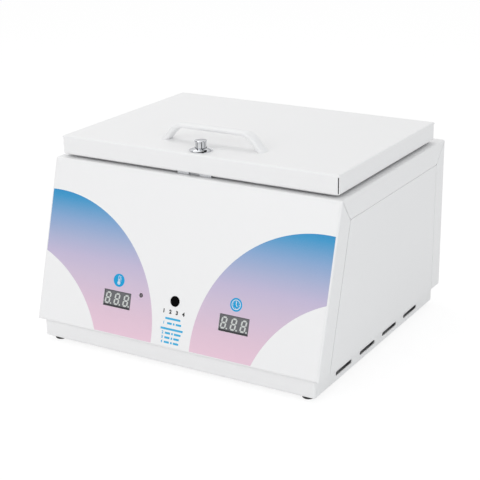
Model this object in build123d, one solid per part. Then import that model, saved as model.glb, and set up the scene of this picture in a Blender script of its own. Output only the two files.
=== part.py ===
from build123d import *
import os
from math import atan2, cos, degrees, hypot, radians, sin, tan

# A bench dry heat sterilizer in millimetres.
# X runs to the right, Y from the front panel's top edge to the rear, Z up from the bench.

# Cabinet of folded sheet
cabinet_height = 190.0
panel_run = 53.5
sheet = 1.2
bend_radius = 2.0
flange_width = 26.0
front_seam = 1.3
fine_seam = 0.5
mitre_gap = 0.6
relief_radius = 1.5
lip_width = 10.0
lip_lap = 3.0
side_return = 12.0
rear_vents = 8
rear_vent_width = 4.0
rear_vent_height = 34.0
rear_vent_pitch = 11.0
rear_vent_inset = 94.0
rear_vent_drop = 72.0

# Base tray and feet
base_height = 22.0
base_side_inset = 6.5
base_front_inset = 5.5
base_rear_inset = 8.5
base_corner_radius = 3.0
base_flange = 10.0
slot_count = 4
slot_length = 41.5
slot_height = 5.0
slot_pitch = 62.4
slot_rise = 9.5
foot_height = 5.0
foot_radius = 8.0
foot_taper = 1.0
foot_inset_x = 14.0
foot_inset_y = 12.0
foot_edge = 0.8

# Screws: shank radius, head radius, head height
m3_radius = 1.5
m3_head_radius = 2.9
m3_head = 1.8
m4_radius = 2.0
m4_head_radius = 3.8
m4_head = 2.4
screw_clearance = 0.1
flush_gap = 0.05
spacer_wall = 1.6
nut_height = 3.2
nut_across = 7.0

# Front panel, places from the middle (u) and from the panel's lower edge up the slope (v)
film_thickness = 0.3
film_margin = 2.5
film_foot = 2.7
film_top = 3.0
film_corner = 1.0
field_margin = 2.5
field_circle_inset = 11.0
field_circle_v = 6.5
field_radius = 153.0
field_hole_offset = 53.0
field_hole_v = -52.0
field_hole_radius = 147.5
display_inset = 111.0
display_v = 43.7
display_width = 37.6
display_height = 19.0
display_depth = 8.0
display_recess = 0.8
display_clearance = 0.3
digit_height = 14.2
digit_width = 7.4
digit_pitch = 12.6
digit_slant = 9.0
segment_width = 1.9
segment_gap = 0.3
segment_depth = 0.4
point_radius = 0.95
point_offset = 1.7
icon_v = 66.2
icon_radius = 7.7
lamp_offset = 32.5
lamp_v = 54.2
lamp_radius = 2.5
lamp_stand = 0.6
lamp_clearance = 0.15
button_v = 55.6
button_radius = 6.0
button_stand = 0.9
button_travel = 1.2
button_clearance = 0.25
button_flange = 1.5
button_flange_thickness = 1.0
button_edge = 0.5
stem_radius = 2.2
board_margin_u = 7.2
board_margin_v = 10.0
board_thickness = 1.6
board_screw_inset = 6.0
standoff_radius = 3.0
switch_side = 6.0
switch_height = 3.6
plunger_radius = 1.7
plunger_clearance = 0.15
plunger_seat = 0.8
plunger_rest = 0.5
board_screw_bite = 5.0
lamp_flange = 0.4
lamp_flange_height = 1.0

# Chamber
chamber_width = 296.0
chamber_length = 190.0
chamber_depth = 75.0
case_room = 7.7
notch_room = 2.0
chamber_corner = 20.0
chamber_floor_radius = 8.0
tub_sheet = 1.0
tub_rim = 14.0
tub_opening_gap = 1.2
insulation_side = 22.0
insulation_floor = 30.0
insulation_gap = 0.3
case_sheet = 1.0
case_flange = 10.0
heater_room = 11.0
heater_radius = 3.25
heater_turn = 22.0
heater_runs = 6
heater_margin = 26.0
heater_tail = 14.0
heater_seat = 0.05
clamp_count = 3
clamp_width = 12.0
clamp_sheet = 1.2
clamp_pitch = 42.0
clamp_room = 2.0
probe_radius = 2.5
probe_reach = 7.0
probe_x = 96.0
probe_drop = 30.0
probe_hex = 6.0
probe_hex_height = 5.0
probe_boot = 12.0
probe_boot_wall = 1.0
probe_lead_radius = 0.8
cutout_radius = 8.0
cutout_height = 9.0
cutout_terminal = 6.0
cutout_blade = 0.8
cutout_blade_width = 4.0
cutout_blade_pitch = 6.8
cutout_spacing = 8.0
tray_side_gap = 9.0
tray_height = 22.0
tray_sheet = 0.8
tray_corner = 12.0
tray_rim = 5.0
tray_foot = 3.0
tray_foot_radius = 5.0
tray_foot_inset = 24.0
tray_slot_length = 24.0
tray_slot_width = 4.0
tray_slot_margin = 8.0
tray_slot_pitch_x = 44.0
tray_slot_pitch_y = 12.0

# Power board on the base tray
power_length = 130.0
power_width = 80.0
power_inset_x = 113.5
power_inset_y = 91.5
power_standoff = 8.0
transformer_length = 48.0
transformer_width = 38.0
transformer_height = 34.0
transformer_coil = 30.0
transformer_dx = -32.0
coil_corner = 4.0
relay_length = 30.0
relay_width = 15.0
relay_height = 20.0
relay_dx = 28.0
relay_edge = 0.8

# Mains inlet in the rear
inlet_inset = 62.0
inlet_rise = 36.0
inlet_length = 27.0
inlet_height = 19.8
inlet_depth = 18.0
inlet_chamfer = 4.5
inlet_flange_length = 50.0
inlet_flange_height = 23.0
inlet_flange = 3.0
inlet_corner = 3.0
inlet_edge = 0.8
inlet_screw_pitch = 40.0
inlet_wall = 1.4
inlet_clearance = 0.2
pin_length = 13.0
pin_width = 4.0
pin_height = 2.0
pin_pitch = 7.0
pin_drop = 2.0

# Lid
lid_side_inset = 7.0
lid_front = 5.0
lid_rear_land = 14.0
lid_gap = 3.5
lid_thickness = 22.5
lid_return = 12.0
lid_corner_gap = 1.4
liner_sheet = 1.0
liner_inset = 3.0
liner_rise = 1.5
gasket_width = 9.0
gasket_offset = 4.0
riser_gap = 1.0
lid_wool_room = 4.3
lid_wool_overlap = 2.0
liner_screw_pitch = 160.0
liner_corner = 4.0

# Handle, a moulded bow
handle_setback = 28.0
handle_foot = 70.0
handle_foot_inner = 60.5
handle_shoulder = 51.0
handle_shoulder_inner = 46.5
handle_height = 21.5
handle_bar = 4.3
handle_depth = 10.0
handle_bend = 23.0
handle_bend_inner = 14.0
handle_edge = 1.6
handle_screw_x = 63.2
handle_screw_depth = 5.0
handle_screw_end = 0.5

# Push lock
lock_setback = 11.0
rosette_radius = 13.5
rosette_height = 4.6
rosette_collar = 8.6
rosette_tube = 9.5
rosette_edge = 1.0
knob_radius = 6.5
knob_lip = 0.5
knob_lip_height = 1.6
knob_stand = 12.0
knob_travel = 6.0
knob_clearance = 0.3
knob_edge = 0.6
knob_stem = 4.0
rosette_flank = 14.0
lock_case_width = 42.0
lock_case_wall = 1.4
lock_case_corner = 1.5
lock_case_gap = 0.5
lock_case_setback = 2.8
tongue_width = 12.0
tongue_height = 4.0
tongue_nose = 0.4
tongue_tail = 8.4
tongue_bevel = 1.6
tongue_clearance = 0.25
wedge_height = 10.0
wedge_land = 1.2
wedge_gap = 0.1
strike_gap = 2.0
strike_width = 45.0
strike_sheet = 1.5
strike_window = 14.7
strike_foot = 16.0
strike_bridge = 5.0
strike_screw_x = 15.0
strike_corner = 3.0
lock_notch_side = 2.0
lock_notch_gap = 0.45

# Hinges
hinge_inset = 68.0
hinge_edge = 2.6
hinge_length = 50.0
hinge_leaf = 1.2
hinge_knuckle = 3.0
hinge_pin_radius = 1.5
hinge_running = 0.05
hinge_joint_gap = 0.4
hinge_leaf_reach = 14.0
hinge_leaf_rise = 17.0
hinge_screw_pitch = 30.0
hinge_knuckle_share = 0.36
pin_head = 0.8
pin_head_edge = 0.8
pin_end = 0.3
leaf_corner = 2.0

# The lock sits behind the lid's front, the chamber behind the lock, the hinges behind the chamber
strike_front = lid_front + sheet + strike_gap
lock_case_front = strike_front + strike_sheet + lock_case_setback
lock_y = lock_case_front + lock_setback
lock_case_rear = lock_y + tongue_tail + tongue_clearance + lock_case_wall
lock_notch = strike_width + 2 * lock_notch_side
lock_notch_rear = lock_case_rear + lock_notch_gap
handle_y = lock_y + handle_setback
seal_reach = gasket_offset + gasket_width + riser_gap + liner_sheet
chamber_front = lock_notch_rear + notch_room + seal_reach
chamber_rear = chamber_front + chamber_length
chamber_middle = (chamber_front + chamber_rear) / 2
lid_rear = chamber_rear + seal_reach + lid_rear_land
lid_depth = lid_rear - lid_front
hinge_stand = hinge_knuckle + hinge_joint_gap
hinge_y = lid_rear + hinge_stand
cabinet_depth = hinge_y + hinge_leaf_reach + hinge_edge

# The cabinet is as wide as the chamber, its insulation and their case need
chamber_wall = tub_sheet + insulation_gap + insulation_side + case_sheet
cabinet_width = chamber_width + 2 * (chamber_wall + case_flange + case_room)
half_width = cabinet_width / 2
lid_width = cabinet_width - 2 * lid_side_inset
hinge_x = lid_width / 2 - hinge_inset
base_width = cabinet_width - 2 * base_side_inset
foot_line = -panel_run
base_front = foot_line + base_front_inset
base_rear = cabinet_depth - base_rear_inset
power_x = power_inset_x - base_width / 2
power_y = base_rear - power_inset_y
inlet_x = inlet_inset - half_width
rear_vent_x = half_width - rear_vent_inset
display_u = half_width - display_inset
lamp_u = lamp_offset - display_u
field_circle_u = half_width - field_circle_inset
field_hole_u = half_width + field_hole_offset
board_length = 2 * (display_u + display_width / 2 + board_margin_u)

# Levels
base_z = foot_height
cabinet_z = base_z + base_height
top_z = cabinet_z + cabinet_height
lid_z = top_z + lid_gap
lid_top = lid_z + lid_thickness
tub_rim_top = top_z + tub_sheet
chamber_floor = tub_rim_top - chamber_depth
tub_underside = chamber_floor - tub_sheet
heater_pocket = tub_underside - heater_room
case_inside_z = heater_pocket - insulation_floor
case_top = top_z - sheet
hinge_z = top_z + hinge_stand
board_rest = -(display_recess + display_depth)
panel_lean = atan2(panel_run, cabinet_height)
panel_height = hypot(panel_run, cabinet_height)

# Solids that stand on their origin or hang from it
bottom_up = (Align.CENTER, Align.CENTER, Align.MIN)
top_down = (Align.CENTER, Align.CENTER, Align.MAX)

# The front panel's own frame: u across, v up the slope, w out of the panel
panel = Plane(
    origin=(0, foot_line, cabinet_z),
    x_dir=(1, 0, 0),
    z_dir=(0, -cos(panel_lean), sin(panel_lean)),
)


def block(x0, x1, y0, y1, z0, z1):
    """A rectangular block between two corners."""
    solid = Box(x1 - x0, y1 - y0, z1 - z0)
    return Pos((x0 + x1) / 2, (y0 + y1) / 2, (z0 + z1) / 2) * solid


def rounded_block(width, length, radius, middle_y, z0, z1):
    """A block with rounded upright edges, centred on X."""
    outline = Pos(0, middle_y, z0) * RectangleRounded(width, length, radius)
    return extrude(outline, z1 - z0, dir=(0, 0, 1))


def side_profile(points, x0, x1):
    """A closed outline in Y and Z carried along X."""
    face = Plane.YZ.offset(x0) * make_face(Polyline(*points, close=True))
    return extrude(face, x1 - x0, dir=(1, 0, 0))


def on_panel(u, v, w):
    """A place on the front panel."""
    return panel * Pos(u, v, w)


def pan_screw(radius, head_radius, head, length):
    """A pan-head screw along Z: the head's seat is at Z 0 and the shank points down."""
    outline = Polyline(
        (0, -length), (radius, -length), (radius, 0), (head_radius, 0),
        (head_radius, head * 0.55), (head_radius * 0.62, head), (0, head), close=True,
    )
    return revolve(Plane.XZ * make_face(outline), Axis.Z)


def flush_screw(thickness, length):
    """A countersunk M3 screw along Z: its head's top is at Z 0 and it is as deep as the sheet."""
    rim = m3_radius + thickness
    outline = Polyline(
        (0, -length), (m3_radius, -length), (m3_radius, -thickness), (rim, 0), (0, 0), close=True,
    )
    return revolve(Plane.XZ * make_face(outline), Axis.Z)


def sink_cut(thickness):
    """The countersink and the hole for one flush screw, its top at Z 0."""
    hole = m3_radius + screw_clearance
    rim = m3_radius + thickness + flush_gap
    outline = Polyline(
        (0, -thickness - 1), (hole, -thickness - 1), (hole, flush_gap - thickness),
        (rim, 0), (rim, 1), (0, 1), close=True,
    )
    return revolve(Plane.XZ * make_face(outline), Axis.Z)


def ring(outer, inner, height):
    """A plain tube with its foot at Z 0."""
    return extrude(Circle(outer) - Circle(inner), height)


def upright_edges(solid):
    """The edges of a block that run along Z."""
    return solid.edges().filter_by(Axis.Z)


# Housing wrap

def cabinet_outline(inset, foot):
    """The cabinet seen from its side, set in by a distance, with its foot at a level."""
    slope_shift = inset / cos(panel_lean)
    top = top_z - inset
    lean = tan(panel_lean)
    front_foot = foot_line + slope_shift + (foot - cabinet_z) * lean
    front_top = slope_shift - inset * lean
    rear = cabinet_depth - inset
    return [(front_foot, foot), (front_top, top), (rear, top), (rear, foot)]


def rounded_cabinet(inset, foot, radius):
    """The cabinet's solid form with every fold rounded."""
    solid = side_profile(cabinet_outline(inset, foot), inset - half_width, half_width - inset)
    open_edges = solid.edges().filter_by(Axis.Y).group_by(Axis.Z)[0]
    return fillet([edge for edge in solid.edges() if edge not in open_edges], radius)


def window_outline(grow_front, grow_fine, foot):
    """The opening between the side flanges, grown or shrunk at its seams."""
    top = top_z - flange_width + grow_fine
    lean = tan(panel_lean)
    shift = (flange_width - grow_front) / cos(panel_lean)
    front_foot = foot_line + shift + (foot - cabinet_z) * lean
    front_top = foot_line + shift + (top - cabinet_z) * lean
    rear = cabinet_depth - flange_width + grow_fine
    return [(front_foot, foot), (front_top, top), (rear, top), (rear, foot)]


def mitre_cut(corner, outer):
    """The slit along a flange's mitre, with the relief hole at its foot."""
    run = hypot(outer[0] - corner[0], outer[1] - corner[1])
    angle = degrees(atan2(outer[1] - corner[1], outer[0] - corner[0]))
    slit = Pos(run / 2, 0, 0) * Box(run, mitre_gap, cabinet_width + 2)
    hole = Cylinder(relief_radius, cabinet_width + 2)
    return Plane.YZ * Pos(corner[0], corner[1], 0) * Rot(0, 0, angle) * (slit + hole)


def mitre_cuts():
    """The slits at the top front and top rear corners of both side flanges."""
    inner = window_outline(0, 0, cabinet_z)
    outer = cabinet_outline(bend_radius, cabinet_z)
    cuts = mitre_cut(inner[1], outer[1]) + mitre_cut(inner[2], outer[2])
    keep = half_width - sheet - bend_radius
    return cuts - block(-keep, keep, -cabinet_depth, 2 * cabinet_depth, 0, 2 * top_z)


def panel_openings():
    """The windows and holes of the front panel, cut along its normal."""
    depth = 8 * sheet
    window = Box(display_width + 2 * display_clearance, display_height + 2 * display_clearance, depth)
    cuts = [on_panel(side * display_u, display_v, 0) * window for side in (-1, 1)]
    cuts.append(on_panel(lamp_u, lamp_v, 0) * Cylinder(lamp_radius + lamp_clearance, depth))
    cuts.append(on_panel(0, button_v, 0) * Cylinder(button_radius + button_clearance, depth))
    return cuts


def inlet_outline(grow):
    """The mains inlet's outline: a rectangle with its two upper corners cut off."""
    half_length = inlet_length / 2 + grow
    half_height = inlet_height / 2 + grow
    points = [
        (-half_length, -half_height), (half_length, -half_height),
        (half_length, half_height - inlet_chamfer), (half_length - inlet_chamfer, half_height),
        (inlet_chamfer - half_length, half_height), (-half_length, half_height - inlet_chamfer),
    ]
    return make_face(Polyline(*points, close=True))


def on_rear(x, z, stand):
    """A place on the rear face, with its own Z pointing out of the cabinet."""
    return Plane(origin=(x, cabinet_depth + stand, z), x_dir=(-1, 0, 0), z_dir=(0, 1, 0))


def rear_openings():
    """The mains inlet's cut-out, its screw holes and the vent slots."""
    inlet_z = cabinet_z + inlet_rise
    cuts = [extrude(on_rear(inlet_x, inlet_z, 1) * inlet_outline(inlet_clearance), -4 * sheet)]
    for side in (-1, 1):
        place = on_rear(inlet_x + side * inlet_screw_pitch / 2, inlet_z, 0)
        cuts.append(place * Cylinder(m3_radius + screw_clearance, 4 * sheet))
    for index in range(rear_vents):
        x = rear_vent_x + (index - (rear_vents - 1) / 2) * rear_vent_pitch
        slot = SlotOverall(rear_vent_height, rear_vent_width, rotation=90)
        cuts.append(extrude(on_rear(x, top_z - rear_vent_drop, 1) * slot, -4 * sheet))
    return cuts


def foot_places():
    """The four feet, front pair first."""
    x = base_width / 2 - foot_inset_x
    front = base_front + foot_inset_y
    rear = base_rear - foot_inset_y
    return {
        "front_left": (-x, front), "front_right": (x, front),
        "rear_left": (-x, rear), "rear_right": (x, rear),
    }


def hinge_screw_places():
    """X and Y of the screws in the hinges' body leaves."""
    y = hinge_y + hinge_leaf_reach / 2 + hinge_knuckle / 2
    return [
        (side * hinge_x + step * hinge_screw_pitch / 2, y)
        for side in (-1, 1) for step in (-1, 1)
    ]


def strike_screw_places():
    """X and Y of the strike's screws."""
    y = strike_front + strike_foot * 0.62
    return [(side * strike_screw_x, y) for side in (-1, 1)]


def housing_wrap():
    """Front, top and rear in one folded sheet, with flanges turned onto both sides."""
    outer = rounded_cabinet(0, cabinet_z, bend_radius)
    inner = rounded_cabinet(sheet, cabinet_z + sheet, bend_radius - sheet)
    wrap = outer - inner
    wrap -= side_profile(window_outline(0, 0, cabinet_z - 1), -half_width - 1, half_width + 1)
    opening_width = chamber_width + 2 * (tub_sheet + tub_opening_gap)
    opening_length = chamber_length + 2 * (tub_sheet + tub_opening_gap)
    wrap -= rounded_block(
        opening_width, opening_length, chamber_corner + tub_sheet, chamber_middle,
        top_z - 2 * sheet, top_z + 1,
    )
    cuts = panel_openings() + rear_openings()
    for x, y in foot_places().values():
        cuts.append(Pos(x, y, cabinet_z) * Cylinder(m4_radius + screw_clearance, 6 * sheet))
    for x, y in hinge_screw_places() + strike_screw_places():
        cuts.append(Pos(x, y, top_z) * Cylinder(m3_radius + screw_clearance, 6 * sheet))
    for cut in cuts:
        wrap -= cut
    return wrap - mitre_cuts()


def side_panel(side):
    """A flush side sheet, stepped inwards behind the flanges and folded in at its foot."""
    face_x = half_width
    back_x = half_width - sheet
    lip_x = back_x - sheet
    plate = side_profile(window_outline(-front_seam, -fine_seam, cabinet_z), back_x, face_x)
    lip_inner = window_outline(-front_seam - lip_lap, -fine_seam - lip_lap, cabinet_z - 1)
    lip = side_profile(window_outline(lip_width, lip_width, cabinet_z), lip_x, back_x)
    lip -= side_profile(lip_inner, lip_x - 1, back_x + 1)
    edge = window_outline(-front_seam, -fine_seam, cabinet_z)
    front, rear = edge[0][0], edge[3][0]
    fold = block(half_width - side_return, back_x, front, rear, cabinet_z, cabinet_z + sheet)
    lip_band = block(lip_x - 1, back_x, -2 * cabinet_depth, 2 * cabinet_depth, 0, cabinet_z + sheet)
    return mirror_side(plate + (lip - lip_band) + fold, side)


def mirror_side(solid, side):
    """The part as made for the right side, or its mirror image for the left."""
    return solid if side > 0 else mirror(solid, Plane.YZ)


# Base and feet

def base_tray():
    """A folded tray with slots in both sides and a flange turned in at its top."""
    middle = (base_front + base_rear) / 2
    length = base_rear - base_front
    outer = rounded_block(base_width, length, base_corner_radius, middle, base_z, cabinet_z)
    outer = fillet(outer.edges().group_by(Axis.Z)[0], bend_radius)
    inner = rounded_block(
        base_width - 2 * sheet, length - 2 * sheet, base_corner_radius - sheet, middle,
        base_z + sheet, cabinet_z - sheet,
    )
    inner = fillet(inner.edges().group_by(Axis.Z)[0], bend_radius - sheet)
    mouth = rounded_block(
        base_width - 2 * base_flange, length - 2 * base_flange, base_corner_radius, middle,
        cabinet_z - 2 * sheet, cabinet_z + 1,
    )
    tray = outer - inner - mouth
    slot = extrude(SlotOverall(slot_length, slot_height), base_width, both=True)
    for index in range(slot_count):
        y = middle + (index - (slot_count - 1) / 2) * slot_pitch
        tray -= Plane.YZ * Pos(y, base_z + slot_rise, 0) * slot
    for x, y in foot_places().values():
        hole = Cylinder(m4_radius + screw_clearance, 4 * base_height)
        tray -= Pos(x, y, base_z) * hole
    for x, y in power_corners():
        tray -= Pos(x, y, base_z) * Cylinder(m3_radius + screw_clearance, 4 * sheet)
    return tray


def foot(place):
    """A moulded rubber foot, tapered, with its screw's head sunk into it."""
    x, y = place
    outline = Polyline(
        (0, 0), (foot_radius - foot_taper - foot_edge, 0), (foot_radius - foot_taper, foot_edge),
        (foot_radius, foot_height), (0, foot_height), close=True,
    )
    solid = revolve(Plane.XZ * make_face(outline), Axis.Z)
    solid -= Cylinder(m4_radius + screw_clearance, 3 * foot_height)
    well = Cylinder(m4_head_radius + 3 * screw_clearance, foot_seat(), align=bottom_up)
    return Pos(x, y, 0) * (solid - well)


def foot_seat():
    """The level inside a foot that its screw's head bears on."""
    return m4_head + foot_edge


def foot_screws():
    """Long screws through the feet and the base into nuts in the cabinet."""
    length = cabinet_z + sheet + nut_height - foot_seat()
    screw = Rot(180, 0, 0) * pan_screw(m4_radius, m4_head_radius, m4_head, length)
    return [Pos(x, y, foot_seat()) * screw for x, y in foot_places().values()]


def base_spacers():
    """Tubes that carry the cabinet over the tray's floor."""
    height = base_height - 2 * sheet
    tube = ring(m4_radius + spacer_wall, m4_radius + screw_clearance, height)
    return [Pos(x, y, base_z + sheet) * tube for x, y in foot_places().values()]


def base_nuts():
    """Nuts on the folds inside the cabinet's foot."""
    outline = RegularPolygon(nut_across / 2, 6, major_radius=False) - Circle(m4_radius)
    nut = extrude(outline, nut_height)
    return [Pos(x, y, cabinet_z + sheet) * nut for x, y in foot_places().values()]


# Front panel

def film_outline():
    """The film's face, short of the panel's folds."""
    width = cabinet_width - 2 * film_margin
    height = panel_height - film_foot - film_top
    return Pos(0, film_foot + height / 2) * RectangleRounded(width, height, film_corner)


def colour_field(side):
    """A printed crescent: what one large circle holds and a second doesn't, inside the margin."""
    width = cabinet_width - 2 * field_margin
    height = panel_height - film_foot - film_top
    limits = Pos(0, film_foot + height / 2) * Rectangle(width, height)
    outer = Pos(side * field_circle_u, field_circle_v) * Circle(field_radius)
    inner = Pos(side * field_hole_u, field_hole_v) * Circle(field_hole_radius)
    return (limits & outer) - inner


def round_icons():
    """The two printed discs over the displays."""
    return [Pos(side * display_u, icon_v) * Circle(icon_radius) for side in (-1, 1)]


def film_cuts(solid):
    """Takes the windows and holes of the panel out of a printed layer."""
    for cut in panel_openings():
        solid -= cut
    return solid


def print_layer(face):
    """A printed face as a layer of the film."""
    return panel * extrude(face, film_thickness)


def front_film():
    """The clear film, less the printed fields that are let into it."""
    face = film_outline()
    for side in (-1, 1):
        face -= colour_field(side)
    for disc in round_icons():
        face -= disc
    return film_cuts(print_layer(face))


def print_field(side):
    """One printed crescent of the film."""
    face = colour_field(side)
    for disc in round_icons():
        face -= disc
    return film_cuts(print_layer(face))


def segment_outlines():
    """Seven slanted segments and a point, round the middle of a digit."""
    half = segment_width / 2
    reach_x = digit_width / 2 - half
    reach_y = digit_height / 2 - half
    slant = tan(radians(digit_slant))

    def lean(points):
        return [(x + y * slant, y) for x, y in points]

    def bar_across(y):
        end = reach_x - segment_gap
        points = [(-end, y), (half - end, y + half), (end - half, y + half)]
        return lean(points + [(end, y), (end - half, y - half), (half - end, y - half)])

    def bar_up(x, y0, y1):
        low, high = y0 + segment_gap, y1 - segment_gap
        points = [(x, low), (x + half, low + half), (x + half, high - half), (x, high)]
        return lean(points + [(x - half, high - half), (x - half, low + half)])

    outlines = [bar_across(y) for y in (-reach_y, 0, reach_y)]
    outlines += [bar_up(x, y, y + reach_y) for x in (-reach_x, reach_x) for y in (-reach_y, 0)]
    return [make_face(Polyline(*points, close=True)) for points in outlines]


def digit_faces():
    """Every segment and point of one display."""
    faces = []
    for index in (-1, 0, 1):
        shift = index * digit_pitch - point_offset / 2
        faces += [Pos(shift, 0) * outline for outline in segment_outlines()]
        point_x = shift + digit_width / 2 + point_offset - digit_height * tan(radians(digit_slant)) / 2
        faces.append(Pos(point_x, point_radius - digit_height / 2) * Circle(point_radius))
    return faces


def display_segments(side):
    """The light windows of one display, flush with its face."""
    place = on_panel(side * display_u, display_v, -display_recess)
    return [place * extrude(face, -segment_depth) for face in digit_faces()]


def display(side):
    """A three-digit display module standing on the control board."""
    module = Box(display_width, display_height, display_depth, align=top_down)
    module = on_panel(side * display_u, display_v, -display_recess) * module
    for segment in display_segments(side):
        module -= segment
    return module


def board_span():
    """The control board's lower and upper edge up the slope."""
    low = display_v - display_height / 2 - board_margin_v
    high = button_v + button_radius + board_margin_v
    return low, high


def board_corners():
    """U and v of the control board's four screws."""
    low, high = board_span()
    u = board_length / 2 - board_screw_inset
    heights = (low + board_screw_inset, high - board_screw_inset)
    return [(side * u, v) for side in (-1, 1) for v in heights]


def control_board():
    """The control board behind the panel."""
    low, high = board_span()
    board = Box(board_length, high - low, board_thickness, align=top_down)
    board = on_panel(0, (low + high) / 2, board_rest) * board
    for u, v in board_corners():
        board -= on_panel(u, v, board_rest) * Cylinder(m3_radius, 4 * board_thickness)
    return board


def status_lamp():
    """A round lamp with a domed end, standing on the board through its hole."""
    height = lamp_stand - board_rest
    flange = lamp_radius + lamp_flange
    step = lamp_flange_height
    outline = [
        Line((0, 0), (flange, 0)), Line((flange, 0), (flange, step)),
        Line((flange, step), (lamp_radius, step)),
        Line((lamp_radius, step), (lamp_radius, height - lamp_radius)),
        RadiusArc((lamp_radius, height - lamp_radius), (0, height), -lamp_radius),
        Line((0, height), (0, 0)),
    ]
    lamp = revolve(Plane.XZ * make_face(outline), Axis.Z)
    return on_panel(lamp_u, lamp_v, board_rest) * lamp


def program_button():
    """A round cap, held behind the panel by its flange, with a stem to the switch."""
    back = -sheet
    rim = button_radius + button_flange
    outline = Polyline(
        (0, back - button_flange_thickness), (rim, back - button_flange_thickness),
        (rim, back), (button_radius, back),
        (button_radius, button_stand - button_edge), (button_radius - button_edge, button_stand),
        (0, button_stand), close=True,
    )
    cap = revolve(Plane.XZ * make_face(outline), Axis.Z)
    stem_foot = board_rest + switch_height + plunger_stand()
    stem_length = back - button_flange_thickness - stem_foot
    stem = Pos(0, 0, stem_foot + stem_length / 2) * Cylinder(stem_radius, stem_length)
    return on_panel(0, button_v, 0) * (cap + stem)


def plunger_stand():
    """How far the switch's plunger stands out of the switch."""
    return button_travel + plunger_rest


def switch_plunger():
    """The switch's plunger, which travels with the button."""
    height = plunger_stand() + plunger_seat
    plunger = Cylinder(plunger_radius, height, align=top_down)
    return on_panel(0, button_v, board_rest + switch_height + plunger_stand()) * plunger


def button_switch():
    """The switch on the board, with the well that its plunger moves in."""
    body = Box(switch_side, switch_side, switch_height, align=bottom_up)
    body = fillet(upright_edges(body), 0.5)
    well_depth = plunger_seat + button_travel + plunger_clearance
    well = Cylinder(plunger_radius + plunger_clearance, well_depth, align=top_down)
    return on_panel(0, button_v, board_rest) * (body - Pos(0, 0, switch_height) * well)


def board_standoffs():
    """Hexagonal standoffs of the control board, and the power board's on the tray."""
    posts = []
    front_length = -board_rest - sheet
    for u, v in board_corners():
        post = extrude(RegularPolygon(standoff_radius, 6) - Circle(m3_radius), -front_length)
        posts.append(on_panel(u, v, -sheet) * post)
    for x, y in power_corners():
        tube = ring(standoff_radius, m3_radius, power_standoff)
        posts.append(Pos(x, y, base_z + sheet) * tube)
    return posts


def board_screws():
    """Pan-head screws: four behind the control board, four under the tray into the power board."""
    shank = m3_radius - screw_clearance
    front = Rot(180, 0, 0) * pan_screw(shank, m3_head_radius, m3_head, board_thickness + board_screw_bite)
    below = Rot(180, 0, 0) * pan_screw(shank, m3_head_radius, m3_head, sheet + power_standoff - 1.0)
    screws = [on_panel(u, v, board_rest - board_thickness) * front for u, v in board_corners()]
    return screws + [Pos(x, y, base_z) * below for x, y in power_corners()]


# Chamber

def chamber_tub():
    """A drawn stainless tub with rounded corners and floor and a flat rim on the cabinet's top."""
    inner = rounded_block(
        chamber_width, chamber_length, chamber_corner, chamber_middle, chamber_floor, tub_rim_top + 1,
    )
    inner = fillet(inner.edges().group_by(Axis.Z)[0], chamber_floor_radius)
    outer = rounded_block(
        chamber_width + 2 * tub_sheet, chamber_length + 2 * tub_sheet, chamber_corner + tub_sheet,
        chamber_middle, tub_underside, tub_rim_top,
    )
    outer = fillet(outer.edges().group_by(Axis.Z)[0], chamber_floor_radius + tub_sheet)
    rim = rounded_block(
        chamber_width + 2 * tub_rim, chamber_length + 2 * tub_rim, chamber_corner + tub_rim,
        chamber_middle, top_z, tub_rim_top,
    )
    tub = outer + rim - inner
    return tub - probe_hole(probe_radius + screw_clearance)


def probe_hole(radius):
    """A round hole along Y at the temperature probe, through the front walls round the chamber."""
    length = 4 * chamber_wall
    hole = Rot(90, 0, 0) * Cylinder(radius, length)
    return Pos(probe_x, chamber_front, top_z - probe_drop) * hole


def temperature_probe():
    """The probe's sheath, its hexagon outside the case and its tip inside the tub."""
    case_face = chamber_front - chamber_wall
    length = chamber_wall + probe_reach
    sheath = Pos(0, 0, -length / 2) * Cylinder(probe_radius, length)
    tip = sheath.edges().group_by(Axis.Z)[0]
    sheath = fillet(tip, probe_radius * 0.6)
    head = extrude(RegularPolygon(probe_hex, 6), probe_hex_height)
    boot = Pos(0, 0, probe_hex_height) * ring(
        probe_radius + probe_boot_wall, probe_lead_radius, probe_boot,
    )
    return Pos(probe_x, case_face, top_z - probe_drop) * Rot(90, 0, 0) * (sheath + head + boot)


def insulation_outline(grow):
    """Width and length of the insulation's outside, grown by a wall."""
    side = tub_sheet + insulation_gap + insulation_side + grow
    return chamber_width + 2 * side, chamber_length + 2 * side


def heater_exits():
    """X of the heater's two ends."""
    reach = (heater_runs - 1) * heater_turn / 2
    return [-reach, reach]


def heater_hole(x, radius):
    """A hole along Y for one end of the heater."""
    length = 4 * chamber_wall
    place = Pos(x, chamber_front, heater_level())
    return place * Rot(90, 0, 0) * Cylinder(radius, length)


def heater_level():
    """Height of the heater's middle line, just under the tub."""
    return tub_underside - heater_radius - heater_seat


def chamber_insulation():
    """Wool round the tub, with the heater's room left free under it."""
    width, length = insulation_outline(0)
    wool = block(
        -width / 2, width / 2, chamber_middle - length / 2, chamber_middle + length / 2,
        case_inside_z, case_top,
    )
    gap = tub_sheet + insulation_gap
    wool -= rounded_block(
        chamber_width + 2 * gap, chamber_length + 2 * gap, chamber_corner + gap, chamber_middle,
        heater_pocket, case_top + 1,
    )
    for x in heater_exits():
        wool -= heater_hole(x, heater_radius + insulation_gap)
    return wool - probe_hole(probe_radius + insulation_gap)


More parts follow.
